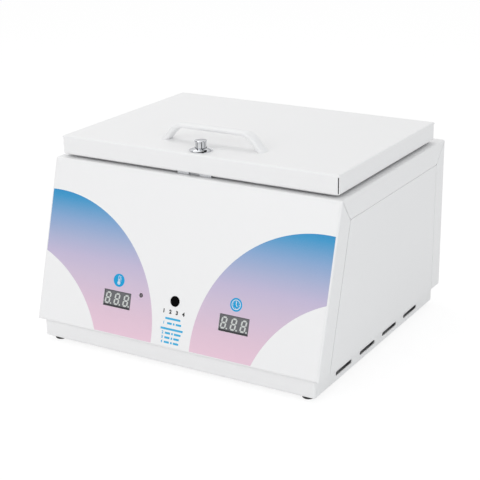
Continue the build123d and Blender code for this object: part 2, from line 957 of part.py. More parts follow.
def insulation_case():
    """A galvanised box round the wool, hung by its flanges under the cabinet's top."""
    width, length = insulation_outline(case_sheet)
    inner_width, inner_length = insulation_outline(0)

    def slab(across, along, low, high):
        front = chamber_middle - along / 2
        return block(-across / 2, across / 2, front, front + along, low, high)

    case = slab(width, length, case_inside_z - case_sheet, case_top)
    case += slab(width + 2 * case_flange, length, case_top - case_sheet, case_top)
    case -= slab(inner_width, inner_length, case_inside_z, case_top + 1)
    for x in heater_exits():
        case -= heater_hole(x, heater_radius + insulation_gap)
    return case - probe_hole(probe_radius + screw_clearance)


def heater_element():
    """One tube bent into parallel runs under the tub, its two ends out through the front."""
    turn = heater_turn / 2
    near = chamber_front + heater_margin
    far = chamber_rear - heater_margin
    exit_y = chamber_front - chamber_wall - heater_tail
    first, last = heater_exits()
    lines = [Line((first, exit_y), (first, far))]
    for run in range(heater_runs - 1):
        x = first + run * heater_turn
        at_far = run % 2 == 0
        y = far if at_far else near
        bulge = turn if at_far else -turn
        lines.append(ThreePointArc((x, y), (x + turn, y + bulge), (x + heater_turn, y)))
        end = exit_y if run == heater_runs - 2 else (near if at_far else far)
        lines.append(Line((x + heater_turn, y), (x + heater_turn, end)))
    path = Pos(0, 0, heater_level()) * Wire(lines)
    section = Plane(origin=path @ 0, z_dir=path % 0) * Circle(heater_radius)
    return sweep(section, path)


def heater_clamps():
    """Stepped straps that hold the heater's runs up against the tub."""
    reach = heater_exits()[1] + heater_radius + clamp_room
    low = tub_underside - 2 * heater_radius - 2 * heater_seat

    def plate(x0, x1, z0, z1):
        return block(x0, x1, -clamp_width / 2, clamp_width / 2, z0, z1)

    leg = plate(reach - clamp_sheet, reach, low - clamp_sheet, tub_underside)
    leg += plate(reach, reach + clamp_width, tub_underside - clamp_sheet, tub_underside)
    strap = plate(-reach, reach, low - clamp_sheet, low) + leg + mirror(leg, Plane.YZ)
    return [
        Pos(0, chamber_middle + (index - (clamp_count - 1) / 2) * clamp_pitch, 0) * strap
        for index in range(clamp_count)
    ]


def thermal_cutout():
    """A round thermostat on the tub's underside beside the heater, with two blades."""
    x = heater_exits()[1] + heater_radius + clamp_width + cutout_radius + cutout_spacing
    body = Cylinder(cutout_radius, cutout_height, align=top_down)
    for side in (-1, 1):
        blade = Box(cutout_terminal + 1, cutout_blade, cutout_blade_width)
        x_blade = cutout_radius + (cutout_terminal - 1) / 2
        y_blade = side * cutout_blade_pitch / 2
        body += Pos(x_blade, y_blade, cutout_blade_width - cutout_height) * blade
    return Pos(x, chamber_middle, tub_underside) * body


def instrument_tray():
    """A slotted stainless tray with a turned rim and four pressed feet."""
    width = chamber_width - 2 * tray_side_gap
    length = chamber_length - 2 * tray_side_gap
    floor = chamber_floor + tray_foot
    top = floor + tray_height

    def level_block(inset, corner, low, high):
        return rounded_block(width - 2 * inset, length - 2 * inset, corner, chamber_middle, low, high)

    outer = level_block(tray_rim, tray_corner, floor, top)
    outer = fillet(outer.edges().group_by(Axis.Z)[0], 3 * tray_sheet)
    rim = level_block(0, tray_corner + tray_rim, top - tray_sheet, top)
    hollow = level_block(tray_rim + tray_sheet, tray_corner - tray_sheet, floor + tray_sheet, top + 1)
    hollow = fillet(hollow.edges().group_by(Axis.Z)[0], 2 * tray_sheet)
    tray = outer + rim - hollow
    slot = SlotOverall(tray_slot_length, tray_slot_width)
    room = 2 * (tray_rim + tray_sheet + tray_slot_margin)
    columns = 1 + int((width - room - tray_slot_length) // tray_slot_pitch_x)
    rows = 1 + int((length - room - tray_slot_width) // tray_slot_pitch_y)
    slots = GridLocations(tray_slot_pitch_x, tray_slot_pitch_y, columns, rows)
    place = Pos(0, chamber_middle, floor - 1)
    tray -= extrude(Sketch() + [place * spot * slot for spot in slots], 2 + tray_sheet)
    for side_x in (-1, 1):
        for side_y in (-1, 1):
            x = side_x * (width / 2 - tray_foot_inset)
            y = chamber_middle + side_y * (length / 2 - tray_foot_inset)
            foot_post = Cone(tray_foot_radius * 0.6, tray_foot_radius, tray_foot, align=bottom_up)
            tray += Pos(x, y, chamber_floor) * foot_post
    return tray


# Power parts on the base

def power_corners():
    """X and Y of the power board's four posts."""
    x = power_length / 2 - board_screw_inset
    y = power_width / 2 - board_screw_inset
    return [(power_x + side_x * x, power_y + side_y * y) for side_x in (-1, 1) for side_y in (-1, 1)]


def power_board_level():
    """The underside of the power board."""
    return base_z + sheet + power_standoff


def power_board():
    """The power board on its four posts."""
    low = power_board_level()
    board = block(
        power_x - power_length / 2, power_x + power_length / 2,
        power_y - power_width / 2, power_y + power_width / 2, low, low + board_thickness,
    )
    for x, y in power_corners():
        board -= Pos(x, y, low) * Cylinder(m3_radius, 4 * board_thickness)
    return board


def transformer():
    """A laminated core round a wound coil, standing on the power board."""
    z = power_board_level() + board_thickness
    core = Box(transformer_length, transformer_width * 0.5, transformer_height, align=bottom_up)
    coil = Box(transformer_coil, transformer_width, transformer_height * 0.72, align=bottom_up)
    coil = fillet(upright_edges(coil), coil_corner)
    coil = Pos(0, 0, transformer_height * 0.14) * coil
    base = Box(transformer_coil, transformer_width, transformer_height * 0.14, align=bottom_up)
    return Pos(power_x + transformer_dx, power_y, z) * (core + coil + base)


def relay():
    """A sealed relay on the power board."""
    z = power_board_level() + board_thickness
    body = Box(relay_length, relay_width, relay_height, align=bottom_up)
    body = fillet(body.edges().filter_by(Axis.Z) + body.edges().group_by(Axis.Z)[-1], relay_edge)
    return Pos(power_x + relay_dx, power_y, z) * body


def mains_inlet():
    """A three-pin appliance inlet: flange, shrouded socket and pins."""
    inlet_z = cabinet_z + inlet_rise
    place = on_rear(inlet_x, inlet_z, 0)
    flange = extrude(RectangleRounded(inlet_flange_length, inlet_flange_height, inlet_corner), inlet_flange)
    flange = fillet(flange.edges().group_by(Axis.Z)[-1], inlet_edge)
    shroud = extrude(inlet_outline(0), -inlet_depth)
    cavity_depth = inlet_depth + inlet_flange - inlet_wall
    cavity = Pos(0, 0, inlet_flange) * extrude(inlet_outline(-inlet_wall), -cavity_depth)
    body = flange + shroud - cavity
    for side in (-1, 0, 1):
        height = pin_drop if side else -pin_drop
        pin = Box(pin_height, pin_width, pin_length, align=bottom_up)
        body += Pos(side * pin_pitch, height, inlet_wall - inlet_depth) * pin
    hole = Cylinder(m3_radius + screw_clearance, 6 * inlet_flange)
    for side in (-1, 1):
        body -= Pos(side * inlet_screw_pitch / 2, 0, 0) * hole
    return place * body


def inlet_screws():
    """The inlet's two screws."""
    screw = pan_screw(m3_radius, m3_head_radius, m3_head, inlet_flange + 3 * sheet)
    inlet_z = cabinet_z + inlet_rise
    return [
        on_rear(inlet_x + side * inlet_screw_pitch / 2, inlet_z, inlet_flange) * screw
        for side in (-1, 1)
    ]


# Lid

def lid_middle():
    """The lid's middle in Y."""
    return lid_front + lid_depth / 2


def lid_shell():
    """A folded pan, open at its corners, with a return fold round its foot."""
    def form(inset, radius):
        solid = block(
            inset - lid_width / 2, lid_width / 2 - inset, lid_front + inset, lid_rear - inset,
            lid_z + inset, lid_top - inset,
        )
        flat = solid.edges().filter_by(Axis.Z)
        return fillet([edge for edge in solid.edges() if edge not in flat], radius)

    shell = form(0, bend_radius) - form(sheet, bend_radius - sheet)
    shell -= block(
        lid_return - lid_width / 2, lid_width / 2 - lid_return, lid_front + lid_return,
        lid_rear - lid_return, lid_z - 1, lid_z + 2 * sheet,
    )
    reach = sheet + lid_corner_gap / 2
    corner_top = lid_top - bend_radius - mitre_gap
    for x in (-lid_width / 2, lid_width / 2):
        for y in (lid_front, lid_rear):
            shell -= block(x - reach, x + reach, y - reach, y + reach, lid_z - 1, corner_top)
    half = lock_notch / 2
    shell -= block(-half, half, lid_front + sheet, lock_notch_rear, lid_z - 1, lid_z + 2 * sheet)
    shell -= Pos(0, lock_y, lid_top) * Cylinder(rosette_tube + screw_clearance, 6 * sheet)
    hole = Cylinder(m3_radius + screw_clearance, 6 * sheet)
    for side in (-1, 1):
        shell -= Pos(side * handle_screw_x, handle_y, lid_top) * hole
    for x, z in lid_leaf_screws():
        shell -= Pos(x, lid_rear, z) * Rot(90, 0, 0) * hole
    for x, y in liner_screw_places():
        shell -= Pos(x, y, lid_z) * hole
    return shell


def liner_centre(grow):
    """Width, length and corner of the liner's raised middle, at the gasket's outside plus a margin."""
    side = gasket_offset + gasket_width + grow
    return chamber_width + 2 * side, chamber_length + 2 * side, chamber_corner + side


def liner_screw_places():
    """X and Y of the liner's screws, in the lid's return folds."""
    x = lid_width / 2 - lid_return / 2 - 1
    y_span = lid_depth / 2 - lid_return / 2 - 1
    middle = lid_middle()
    places = [(side * x, middle + step * y_span * 0.62) for side in (-1, 1) for step in (-1, 1)]
    return places + [
        (side * liner_screw_pitch / 2, middle + step * y_span) for side in (-1, 1) for step in (-1, 1)
    ]


def lid_liner():
    """The lid's lower sheet, pressed up inside the gasket's seat."""
    rim_z = lid_z - liner_sheet
    raised_z = rim_z + liner_rise
    width = lid_width - 2 * liner_inset
    length = lid_depth - 2 * liner_inset
    liner = rounded_block(width, length, liner_corner, lid_middle(), rim_z, lid_z)
    w, l, r = liner_centre(riser_gap + liner_sheet)
    liner += rounded_block(w, l, r, chamber_middle, rim_z, raised_z + liner_sheet)
    w, l, r = liner_centre(riser_gap)
    liner -= rounded_block(w, l, r, chamber_middle, rim_z - 1, raised_z)
    liner -= block(-lock_notch / 2, lock_notch / 2, 0, lock_notch_rear, rim_z - 1, lid_z + 1)
    for x, y in liner_screw_places():
        liner -= Pos(x, y, lid_z) * Cylinder(m3_radius + screw_clearance, 6 * sheet)
    return liner


def lid_gasket():
    """A silicone ring in the liner's seat, resting on the tub's rim."""
    top = lid_z - liner_sheet + liner_rise
    w, l, r = liner_centre(0)
    gasket = rounded_block(w, l, r, chamber_middle, tub_rim_top, top)
    w, l, r = liner_centre(-gasket_width)
    return gasket - rounded_block(w, l, r, chamber_middle, tub_rim_top - 1, top + 1)


def lid_wool():
    """The lid's insulation on the liner's raised middle."""
    low = lid_z + liner_rise
    width, length, _ = liner_centre(-lid_wool_overlap)
    front = chamber_middle - length / 2
    high = lid_top - sheet - lid_wool_room
    return block(-width / 2, width / 2, front, front + length, low, high)


def liner_screws():
    """Pan-head screws from below, through the liner into the return folds."""
    screw = pan_screw(m3_radius, m3_head_radius, m3_head * 0.75, liner_sheet + 4 * sheet)
    screw = Rot(180, 0, 0) * screw
    return [Pos(x, y, lid_z - liner_sheet) * screw for x, y in liner_screw_places()]


def lid_handle():
    """A moulded bow with splayed legs that thicken to their feet, every edge rounded."""
    outer = [
        (-handle_foot, 0), (-handle_shoulder, handle_height),
        (handle_shoulder, handle_height), (handle_foot, 0),
    ]
    under = handle_height - handle_bar
    inner = [
        (handle_foot_inner, 0), (handle_shoulder_inner, under),
        (-handle_shoulder_inner, under), (-handle_foot_inner, 0),
    ]
    outline = [
        FilletPolyline(*outer, radius=handle_bend), Line(outer[-1], inner[0]),
        FilletPolyline(*inner, radius=handle_bend_inner), Line(inner[-1], outer[0]),
    ]
    face = Plane.XZ.offset(-handle_y - handle_depth / 2) * make_face(outline)
    bow = Pos(0, 0, lid_top) * extrude(face, handle_depth)
    kept = bow.faces().group_by(Axis.Z)[0].edges() + bow.edges().filter_by(Axis.Y)
    along = [edge for edge in bow.edges() if edge not in kept]
    bow = fillet(along, handle_edge)
    for side in (-1, 1):
        hole = Cylinder(m3_radius, 2 * handle_screw_depth)
        bow -= Pos(side * handle_screw_x, handle_y, lid_top) * hole
    return bow


def handle_screws():
    """The handle's screws, up through the lid's top."""
    length = sheet + handle_screw_depth - handle_screw_end
    screw = Rot(180, 0, 0) * pan_screw(m3_radius, m3_head_radius, m3_head, length)
    return [Pos(side * handle_screw_x, handle_y, lid_top - sheet) * screw for side in (-1, 1)]


# Push lock

def lock_roof():
    """The underside of the lid's top sheet, which the lock's case bears on."""
    return lid_top - sheet


def case_low():
    """The foot of the lock's case."""
    return top_z + strike_sheet + lock_case_gap


def tongue_low():
    """The underside of the tongue."""
    return case_low() + lock_case_wall + tongue_clearance


def wedge_top():
    """The top of the tongue's wedge."""
    return tongue_low() + tongue_height + wedge_height


def well_floor():
    """The floor of the well that the knob's skirt sinks into."""
    return wedge_top() + tongue_clearance + lock_case_wall


def skirt_low():
    """The underside of the knob's skirt at rest."""
    return well_floor() + knob_travel + knob_clearance


def wedge_line():
    """Y plus Z on the wedge's sloped face."""
    tail = lock_y + tongue_tail
    return tail + tongue_low() + tongue_height


def stem_low():
    """The foot of the knob's stem at rest, clear of the tongue when pushed."""
    return tongue_low() + tongue_height + knob_travel + 2 * tongue_clearance


def lock_rosette():
    """A turned and chromed rose with a domed flank, a collar and a tube down to the case."""
    bore = knob_radius + knob_clearance
    outline = [
        Line((bore, rosette_height), (rosette_collar, rosette_height)),
        RadiusArc((rosette_collar, rosette_height), (rosette_radius, rosette_edge), rosette_flank),
        Line((rosette_radius, rosette_edge), (rosette_radius, 0)),
        Line((rosette_radius, 0), (rosette_tube, 0)),
        Line((rosette_tube, 0), (rosette_tube, -sheet)),
        Line((rosette_tube, -sheet), (bore, -sheet)),
        Line((bore, -sheet), (bore, rosette_height)),
    ]
    rose = revolve(Plane.XZ * make_face(outline), Axis.Z)
    return Pos(0, lock_y, lid_top) * rose


def lock_button():
    """The chromed knob: a lipped cap, a skirt in the rosette and a stem cut to the wedge's slope."""
    top = lid_top + knob_stand
    shaft = knob_radius - knob_lip
    skirt = skirt_low()
    foot_z = stem_low()
    outline = Polyline(
        (0, foot_z), (knob_stem, foot_z), (knob_stem, skirt), (shaft, skirt),
        (shaft, top - knob_lip_height), (knob_radius, top - knob_lip_height * 0.6),
        (knob_radius, top - knob_edge), (knob_radius - knob_edge, top), (0, top), close=True,
    )
    knob = revolve(Plane.XZ * make_face(outline), Axis.Z)
    knob = Pos(0, lock_y, 0) * knob
    slope_y = wedge_line() + wedge_gap * 2 ** 0.5 - foot_z
    reach = 4 * knob_stem
    cut = [
        (slope_y + reach, foot_z - reach), (slope_y - reach, foot_z + reach),
        (slope_y - reach, foot_z - reach),
    ]
    return knob - side_profile(cut, -reach, reach)


def latch_tongue():
    """The sliding tongue, its nose bevelled, with the wedge that the knob's stem drives."""
    low = tongue_low()
    high = low + tongue_height
    tip = lock_case_front + tongue_nose
    tail = lock_y + tongue_tail
    peak = wedge_top()
    slope_peak = wedge_line() - peak
    slide = [
        (tip, low + tongue_bevel), (tip + tongue_bevel, low), (tail, low), (tail, high), (tip, high),
    ]
    wedge = [
        (slope_peak - wedge_land, high - 1), (tail, high - 1), (tail, high), (slope_peak, peak),
        (slope_peak - wedge_land, peak),
    ]
    tongue = side_profile(slide, -tongue_width / 2, tongue_width / 2)
    return tongue + side_profile(wedge, -knob_stem, knob_stem)


def lock_case():
    """The moulded case under the lid's top: a channel for the tongue and a well for the knob."""
    half = lock_case_width / 2
    case = block(-half, half, lock_case_front, lock_case_rear, case_low(), lock_roof())
    case = fillet(upright_edges(case), lock_case_corner)
    low = tongue_low() - tongue_clearance
    high = tongue_low() + tongue_height + tongue_clearance
    half = tongue_width / 2 + tongue_clearance
    case -= block(-half, half, 0, lock_y + tongue_tail + tongue_clearance, low, high)
    half = knob_stem + tongue_clearance
    room_front = wedge_line() - wedge_top() - wedge_land - knob_travel - tongue_clearance
    case -= block(
        -half, half, room_front, lock_y + tongue_tail + tongue_clearance, low,
        wedge_top() + tongue_clearance,
    )
    well = Cylinder(knob_radius + knob_clearance, 20, align=bottom_up)
    case -= Pos(0, lock_y, well_floor()) * well
    stem_hole = Cylinder(knob_stem + knob_clearance, 4 * lock_case_wall)
    return case - Pos(0, lock_y, well_floor()) * stem_hole


def strike_top():
    """The top of the strike's bridge."""
    return tongue_low() + tongue_height + 2 * tongue_clearance + strike_bridge


def latch_strike():
    """An angle of zinc-plated sheet: a foot on the cabinet's top and an upright with a window."""
    half = strike_width / 2
    rear = strike_front + strike_foot
    upright = block(-half, half, strike_front, strike_front + strike_sheet, top_z, strike_top())
    upper = upright.edges().filter_by(Axis.Y).group_by(Axis.Z)[-1]
    upright = fillet(upper, strike_corner)
    base = block(-half, half, strike_front, rear, top_z, top_z + strike_sheet)
    base = fillet(base.edges().filter_by(Axis.Z).group_by(Axis.Y)[-1], strike_corner)
    strike = upright + base
    bend = strike.edges().filter_by(Axis.X).group_by(Axis.Z)[0].sort_by(Axis.Y)[0]
    strike = fillet(bend, strike_sheet * 0.6)
    strike -= block(
        -strike_window / 2, strike_window / 2, strike_front - 1, strike_front + 2.4 * strike_sheet,
        top_z - 1, tongue_low() + tongue_height + 2 * tongue_clearance,
    )
    for x, y in strike_screw_places():
        strike -= Pos(x, y, top_z + strike_sheet) * sink_cut(strike_sheet)
    return strike


def strike_screws():
    """The strike's two screws."""
    screw = flush_screw(strike_sheet, strike_sheet + 4 * sheet)
    return [Pos(x, y, top_z + strike_sheet) * screw for x, y in strike_screw_places()]


# Hinges

def knuckle(x0, x1, bore):
    """A rolled knuckle along X on the hinge's line."""
    tube = ring(hinge_knuckle, bore, x1 - x0)
    return Pos(x0, hinge_y, hinge_z) * Rot(0, 90, 0) * tube


def knuckle_spans(x):
    """The body leaf's middle knuckle and the lid leaf's two outer ones, along X."""
    half = hinge_length / 2
    middle = hinge_length * (0.5 - hinge_knuckle_share)
    body = [(x - middle + hinge_joint_gap / 2, x + middle - hinge_joint_gap / 2)]
    lid = [(x - half, x - middle - hinge_joint_gap / 2), (x + middle + hinge_joint_gap / 2, x + half)]
    return body, lid


def body_leaf(side):
    """The leaf on the cabinet's top, with the middle knuckle."""
    x = side * hinge_x
    half = hinge_length / 2
    body_spans, lid_spans = knuckle_spans(x)
    near = hinge_y + hinge_knuckle + hinge_joint_gap
    leaf = block(x - half, x + half, near, hinge_y + hinge_leaf_reach, top_z, top_z + hinge_leaf)
    leaf = fillet(leaf.edges().filter_by(Axis.Z).group_by(Axis.Y)[-1], leaf_corner)
    pin_line = Pos(x, hinge_y, hinge_z) * Rot(0, 90, 0)
    arm_top = hinge_z - hinge_knuckle * 0.5
    for x0, x1 in body_spans:
        leaf += block(x0, x1, hinge_y, near, top_z, arm_top)
        leaf += knuckle(x0, x1, hinge_pin_radius)
    leaf -= pin_line * Cylinder(hinge_pin_radius, hinge_length)
    for sx, sy in hinge_screw_places():
        if abs(sx - x) < half:
            leaf -= Pos(sx, sy, top_z + hinge_leaf) * sink_cut(hinge_leaf)
    return leaf


def lid_leaf_screws():
    """X and Z of the screws in the hinges' lid leaves."""
    z = hinge_z + hinge_leaf_rise * 0.62
    return [
        (side * hinge_x + step * hinge_screw_pitch / 2, z)
        for side in (-1, 1) for step in (-1, 1)
    ]


def lid_leaf_place(x, z):
    """A place on the lid leaf's face, with its own Z pointing to the rear."""
    return Plane(origin=(x, lid_rear + hinge_leaf, z), x_dir=(-1, 0, 0), z_dir=(0, 1, 0))


def lid_leaf(side):
    """The leaf on the lid's rear, with the two outer knuckles."""
    x = side * hinge_x
    half = hinge_length / 2
    body_spans, lid_spans = knuckle_spans(x)
    near = hinge_z + hinge_knuckle + hinge_joint_gap
    leaf = block(x - half, x + half, lid_rear, lid_rear + hinge_leaf, near, hinge_z + hinge_leaf_rise)
    leaf = fillet(leaf.edges().filter_by(Axis.Y).group_by(Axis.Z)[-1], leaf_corner)
    bore = hinge_pin_radius + hinge_running
    arm_rear = hinge_y - hinge_knuckle * 0.5
    for x0, x1 in lid_spans:
        leaf += block(x0, x1, lid_rear, arm_rear, hinge_z, near) + knuckle(x0, x1, bore)
    leaf -= Pos(x, hinge_y, hinge_z) * Rot(0, 90, 0) * Cylinder(bore, 2 * hinge_length)
    for sx, sz in lid_leaf_screws():
        if abs(sx - x) < half:
            leaf -= lid_leaf_place(sx, sz) * sink_cut(hinge_leaf)
    return leaf


def hinge_pin(side):
    """The pin, headed at both ends."""
    half = hinge_length / 2 + pin_end
    pin = Cylinder(hinge_pin_radius, 2 * half)
    for end in (-1, 1):
        pin += Pos(0, 0, end * (half + pin_head / 2)) * Cylinder(hinge_pin_radius + pin_head_edge, pin_head)
    return Pos(side * hinge_x, hinge_y, hinge_z) * Rot(0, 90, 0) * pin


def hinge_screws_body():
    """Screws of the body leaves."""
    screw = flush_screw(hinge_leaf, hinge_leaf + 4 * sheet)
    return [Pos(x, y, top_z + hinge_leaf) * screw for x, y in hinge_screw_places()]


def hinge_screws_lid():
    """Screws of the lid leaves."""
    screw = flush_screw(hinge_leaf, hinge_leaf + 4 * sheet)
    return [lid_leaf_place(x, z) * screw for x, z in lid_leaf_screws()]


def build_nodes():
    """Every named piece; a list is a group of like pieces."""
    nodes = {
        "housing_wrap": housing_wrap(),
        "side_panel_left": side_panel(-1),
        "side_panel_right": side_panel(1),
        "base_tray": base_tray(),
        "foot_screws": foot_screws(),
        "base_spacers": base_spacers(),
        "base_nuts": base_nuts(),
        "front_film": front_film(),
        "print_left": print_field(-1),
        "print_right": print_field(1),
        "print_icons": [print_layer(disc) for disc in round_icons()],
        "display_left": display(-1),
        "display_right": display(1),
        "segments_left": display_segments(-1),
        "segments_right": display_segments(1),
        "status_lamp": status_lamp(),
        "program_button": program_button(),
        "switch_plunger": switch_plunger(),
        "button_switch": button_switch(),
        "control_board": control_board(),
        "board_standoffs": board_standoffs(),
        "board_screws": board_screws(),
        "chamber_tub": chamber_tub(),
        "temperature_probe": temperature_probe(),
        "chamber_insulation": chamber_insulation(),
        "insulation_case": insulation_case(),
        "heater_element": heater_element(),
        "heater_clamps": heater_clamps(),
        "thermal_cutout": thermal_cutout(),
        "instrument_tray": instrument_tray(),
        "power_board": power_board(),
        "transformer": transformer(),
        "relay": relay(),
        "mains_inlet": mains_inlet(),
        "inlet_screws": inlet_screws(),
        "lid_shell": lid_shell(),
        "lid_liner": lid_liner(),
        "lid_gasket": lid_gasket(),
        "lid_insulation": lid_wool(),
        "liner_screws": liner_screws(),
        "lid_handle": lid_handle(),
        "handle_screws": handle_screws(),
        "lock_rosette": lock_rosette(),
        "lock_button": lock_button(),
        "latch_tongue": latch_tongue(),
        "lock_case": lock_case(),
        "latch_strike": latch_strike(),
        "strike_screws": strike_screws(),
        "hinge_screws_body": hinge_screws_body(),
        "hinge_screws_lid": hinge_screws_lid(),
    }
    for name, place in foot_places().items():
        nodes["foot_" + name] = foot(place)
    for name, side in (("left", -1), ("right", 1)):
        nodes["hinge_leaf_body_" + name] = body_leaf(side)
        nodes["hinge_leaf_lid_" + name] = lid_leaf(side)
        nodes["hinge_pin_" + name] = hinge_pin(side)
    return nodes


def write_nodes(nodes):
    """Centres the object over its origin and writes one file for each node."""
    groups = {}
    for name, piece in nodes.items():
        solids = piece if isinstance(piece, list) else [piece]
        groups[name] = Compound([solid for item in solids for solid in item.solids()])
    whole = Compound(list(groups.values())).bounding_box()
    shift = Pos(0, -(whole.min.Y + whole.max.Y) / 2, 0)
    os.makedirs("parts", exist_ok=True)
    for name, group in groups.items():
        export_step(shift * group, f"parts/{name}.step")
    print("shift in Y", round(-(whole.min.Y + whole.max.Y) / 2, 4))
    print("size", whole.size)


write_nodes(build_nodes())
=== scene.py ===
import bmesh
import bpy
from math import atan2, copysign, cos, hypot, pi, radians, sin, tan
from mathutils import Matrix, Vector


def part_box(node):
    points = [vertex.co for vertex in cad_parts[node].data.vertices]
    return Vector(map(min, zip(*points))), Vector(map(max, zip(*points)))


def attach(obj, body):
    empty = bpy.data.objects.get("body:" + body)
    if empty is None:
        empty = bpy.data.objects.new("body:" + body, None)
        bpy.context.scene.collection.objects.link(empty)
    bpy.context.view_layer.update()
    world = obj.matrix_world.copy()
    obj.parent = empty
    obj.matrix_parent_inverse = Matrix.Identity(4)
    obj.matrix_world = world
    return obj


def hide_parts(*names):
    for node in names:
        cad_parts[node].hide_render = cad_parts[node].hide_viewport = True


# A bench dry heat sterilizer: lengths are in metres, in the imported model's frame
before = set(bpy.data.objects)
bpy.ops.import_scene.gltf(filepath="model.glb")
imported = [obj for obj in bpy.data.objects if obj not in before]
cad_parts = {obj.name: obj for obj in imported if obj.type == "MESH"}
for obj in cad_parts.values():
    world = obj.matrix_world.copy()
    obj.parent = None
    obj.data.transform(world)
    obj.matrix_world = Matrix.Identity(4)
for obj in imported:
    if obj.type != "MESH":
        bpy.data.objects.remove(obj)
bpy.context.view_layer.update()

MM = 0.001
scene = bpy.context.scene
sides = (-1, 1)

# Edges that turn by more than this stay sharp on a smooth piece
sharp_corner = radians(35)

# The drawing has its Y 0 at the panel's top edge, and the imported model has it moved along Y
drawn_rear = 290.0
shift_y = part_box("housing_wrap")[1].y / MM - drawn_rear

# The front panel: u across, v up the slope, w out of it, in millimetres from its foot
panel_run = 53.5
panel_rise = 190.0
panel_foot_z = 27.0
panel_lean = atan2(panel_run, panel_rise)
panel_length = hypot(panel_run, panel_rise)
film_face = 0.3
panel_up = Vector((0, sin(panel_lean), cos(panel_lean)))
panel_out = Vector((0, -cos(panel_lean), sin(panel_lean)))
panel_origin = Vector((0, shift_y - panel_run, panel_foot_z)) * MM

# The displays and the discs over them
display_u, display_v = 79.0, 43.7
display_width, display_height = 37.6, 19.0
icon_v = 66.2


# Small helpers

def srgb(red, green, blue):
    """A linear colour from its eight-bit values."""
    def straighten(value):
        share = value / 255
        return share / 12.92 if share <= 0.04045 else ((share + 0.055) / 1.055) ** 2.4
    return (straighten(red), straighten(green), straighten(blue), 1.0)


def at(x, y, z):
    """A place given in millimetres of the drawing."""
    return Vector((x, y + shift_y, z)) * MM


def over(node, level):
    """The matrix that carries a piece drawn at the origin to a node's middle, at a level."""
    low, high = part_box(node)
    return Matrix.Translation(((low.x + high.x) / 2, (low.y + high.y) / 2, level))


def on_panel(w):
    """Lays a flat print on the front panel, w millimetres out of it, its Y up the slope."""
    across, out = Vector((1, 0, 0)), panel_out.normalized()
    turn = Matrix((across, out.cross(across), out)).transposed().to_4x4()
    return Matrix.Translation(panel_origin + panel_out * w * MM) @ turn


def placed(name, data):
    """A new object of the scene that holds some data."""
    thing = bpy.data.objects.new(name, data)
    scene.collection.objects.link(thing)
    return thing


def link(mesh, name, material=None):
    """An object at the origin that holds a finished mesh."""
    mesh.name = name
    if material:
        mesh.materials.clear()
        mesh.materials.append(material)
    return placed(name, mesh)


def from_bmesh(bm, name, material=None, smooth=False):
    """Closes a bmesh into an object; a smooth one keeps its sharp corners."""
    mesh = bpy.data.meshes.new(name)
    bmesh.ops.recalc_face_normals(bm, faces=bm.faces)
    bm.to_mesh(mesh)
    bm.free()
    if smooth:
        mesh.shade_smooth()
        mesh.set_sharp_from_angle(angle=sharp_corner)
    return link(mesh, name, material)


def baked(thing, name, material=None):
    """The evaluated object as a plain mesh in a new object; the first one is removed."""
    bpy.context.view_layer.update()
    graph = bpy.context.evaluated_depsgraph_get()
    mesh = bpy.data.meshes.new_from_object(thing.evaluated_get(graph), depsgraph=graph)
    mesh.transform(thing.matrix_world)
    bpy.data.objects.remove(thing)
    return link(mesh, name, material)


def finish_piece(thing, body, slot, *replaced):
    """Gives a piece its body and hides the nodes that it stands for; its slot is not used."""
    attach(thing, body)
    if replaced:
        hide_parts(*replaced)


# Shader helpers

def add_node(tree, kind, sockets=None, **settings):
    """A node with its settings; a socket's value may be a number or another node's output."""
    node = tree.nodes.new(kind)
    for name, value in settings.items():
        setattr(node, name, value)
    for name, value in (sockets or {}).items():
        if isinstance(value, bpy.types.NodeSocket):
            tree.links.new(value, node.inputs[name])
        else:
            node.inputs[name].default_value = value
    return node


def new_group(name, inputs, outputs):
    """An empty shader group with named sockets: inputs are pairs of a name and a value."""
    group = bpy.data.node_groups.new(name, "ShaderNodeTree")
    kinds = {float: "NodeSocketFloat", tuple: "NodeSocketVector"}
    for label, value in inputs:
        socket = group.interface.new_socket(label, in_out="INPUT", socket_type=kinds[type(value)])
        socket.default_value = value
    for label in outputs:
        group.interface.new_socket(label, in_out="OUTPUT", socket_type="NodeSocketFloat")
    source = group.nodes.new("NodeGroupInput")
    result = group.nodes.new("NodeGroupOutput")
    return group, source.outputs, result.inputs


def noise(tree, vector, scale, detail=2.0, roughness=0.5):
    """A noise texture's value."""
    node = add_node(tree, "ShaderNodeTexNoise", {
        "Vector": vector, "Scale": scale, "Detail": detail, "Roughness": roughness,
    })
    return node.outputs["Fac"]


def drift(tree, vector, scale):
    """A slow noise, for a tone that wanders over a piece."""
    return noise(tree, vector, scale, detail=3.0, roughness=0.6)


def maths(tree, operation, first, second=0.0):
    """A Math node's result."""
    node = add_node(tree, "ShaderNodeMath", {0: first, 1: second}, operation=operation)
    return node.outputs[0]


def largest(tree, *values):
    """The largest of several values."""
    result = values[0]
    for value in values[1:]:
        result = maths(tree, "MAXIMUM", result, value)
    return result


def vector_maths(tree, operation, first, second):
    """A Vector Math node's result."""
    node = add_node(tree, "ShaderNodeVectorMath", {0: first, 1: second}, operation=operation)
    return node.outputs["Value" if operation == "DOT_PRODUCT" else "Vector"]


def map_range(tree, value, low, high, to_low, to_high):
    """A clamped Map Range node's result."""
    node = add_node(tree, "ShaderNodeMapRange", {
        "Value": value, "From Min": low, "From Max": high, "To Min": to_low, "To Max": to_high,
    })
    return node.outputs["Result"]


def object_place(tree):
    """Object coordinates, which are the frame's own metres on every piece."""
    return tree.nodes.new("ShaderNodeTexCoord").outputs["Object"]


# Numbers of the shared effects
fine_share, broad_scale = 0.65, 0.16
warp_scale, warp_push = 40.0, (0.012, 0.012, 0.012)
fibre_stretches, fibre_drift = ((1.0, 0.12, 0.5), (0.12, 1.0, 0.5)), 30.0
scuff_turns, scuff_stretch, scuff_drift = (0.3, 1.5, 2.4), (0.05, 2.5, 2.5), 60.0


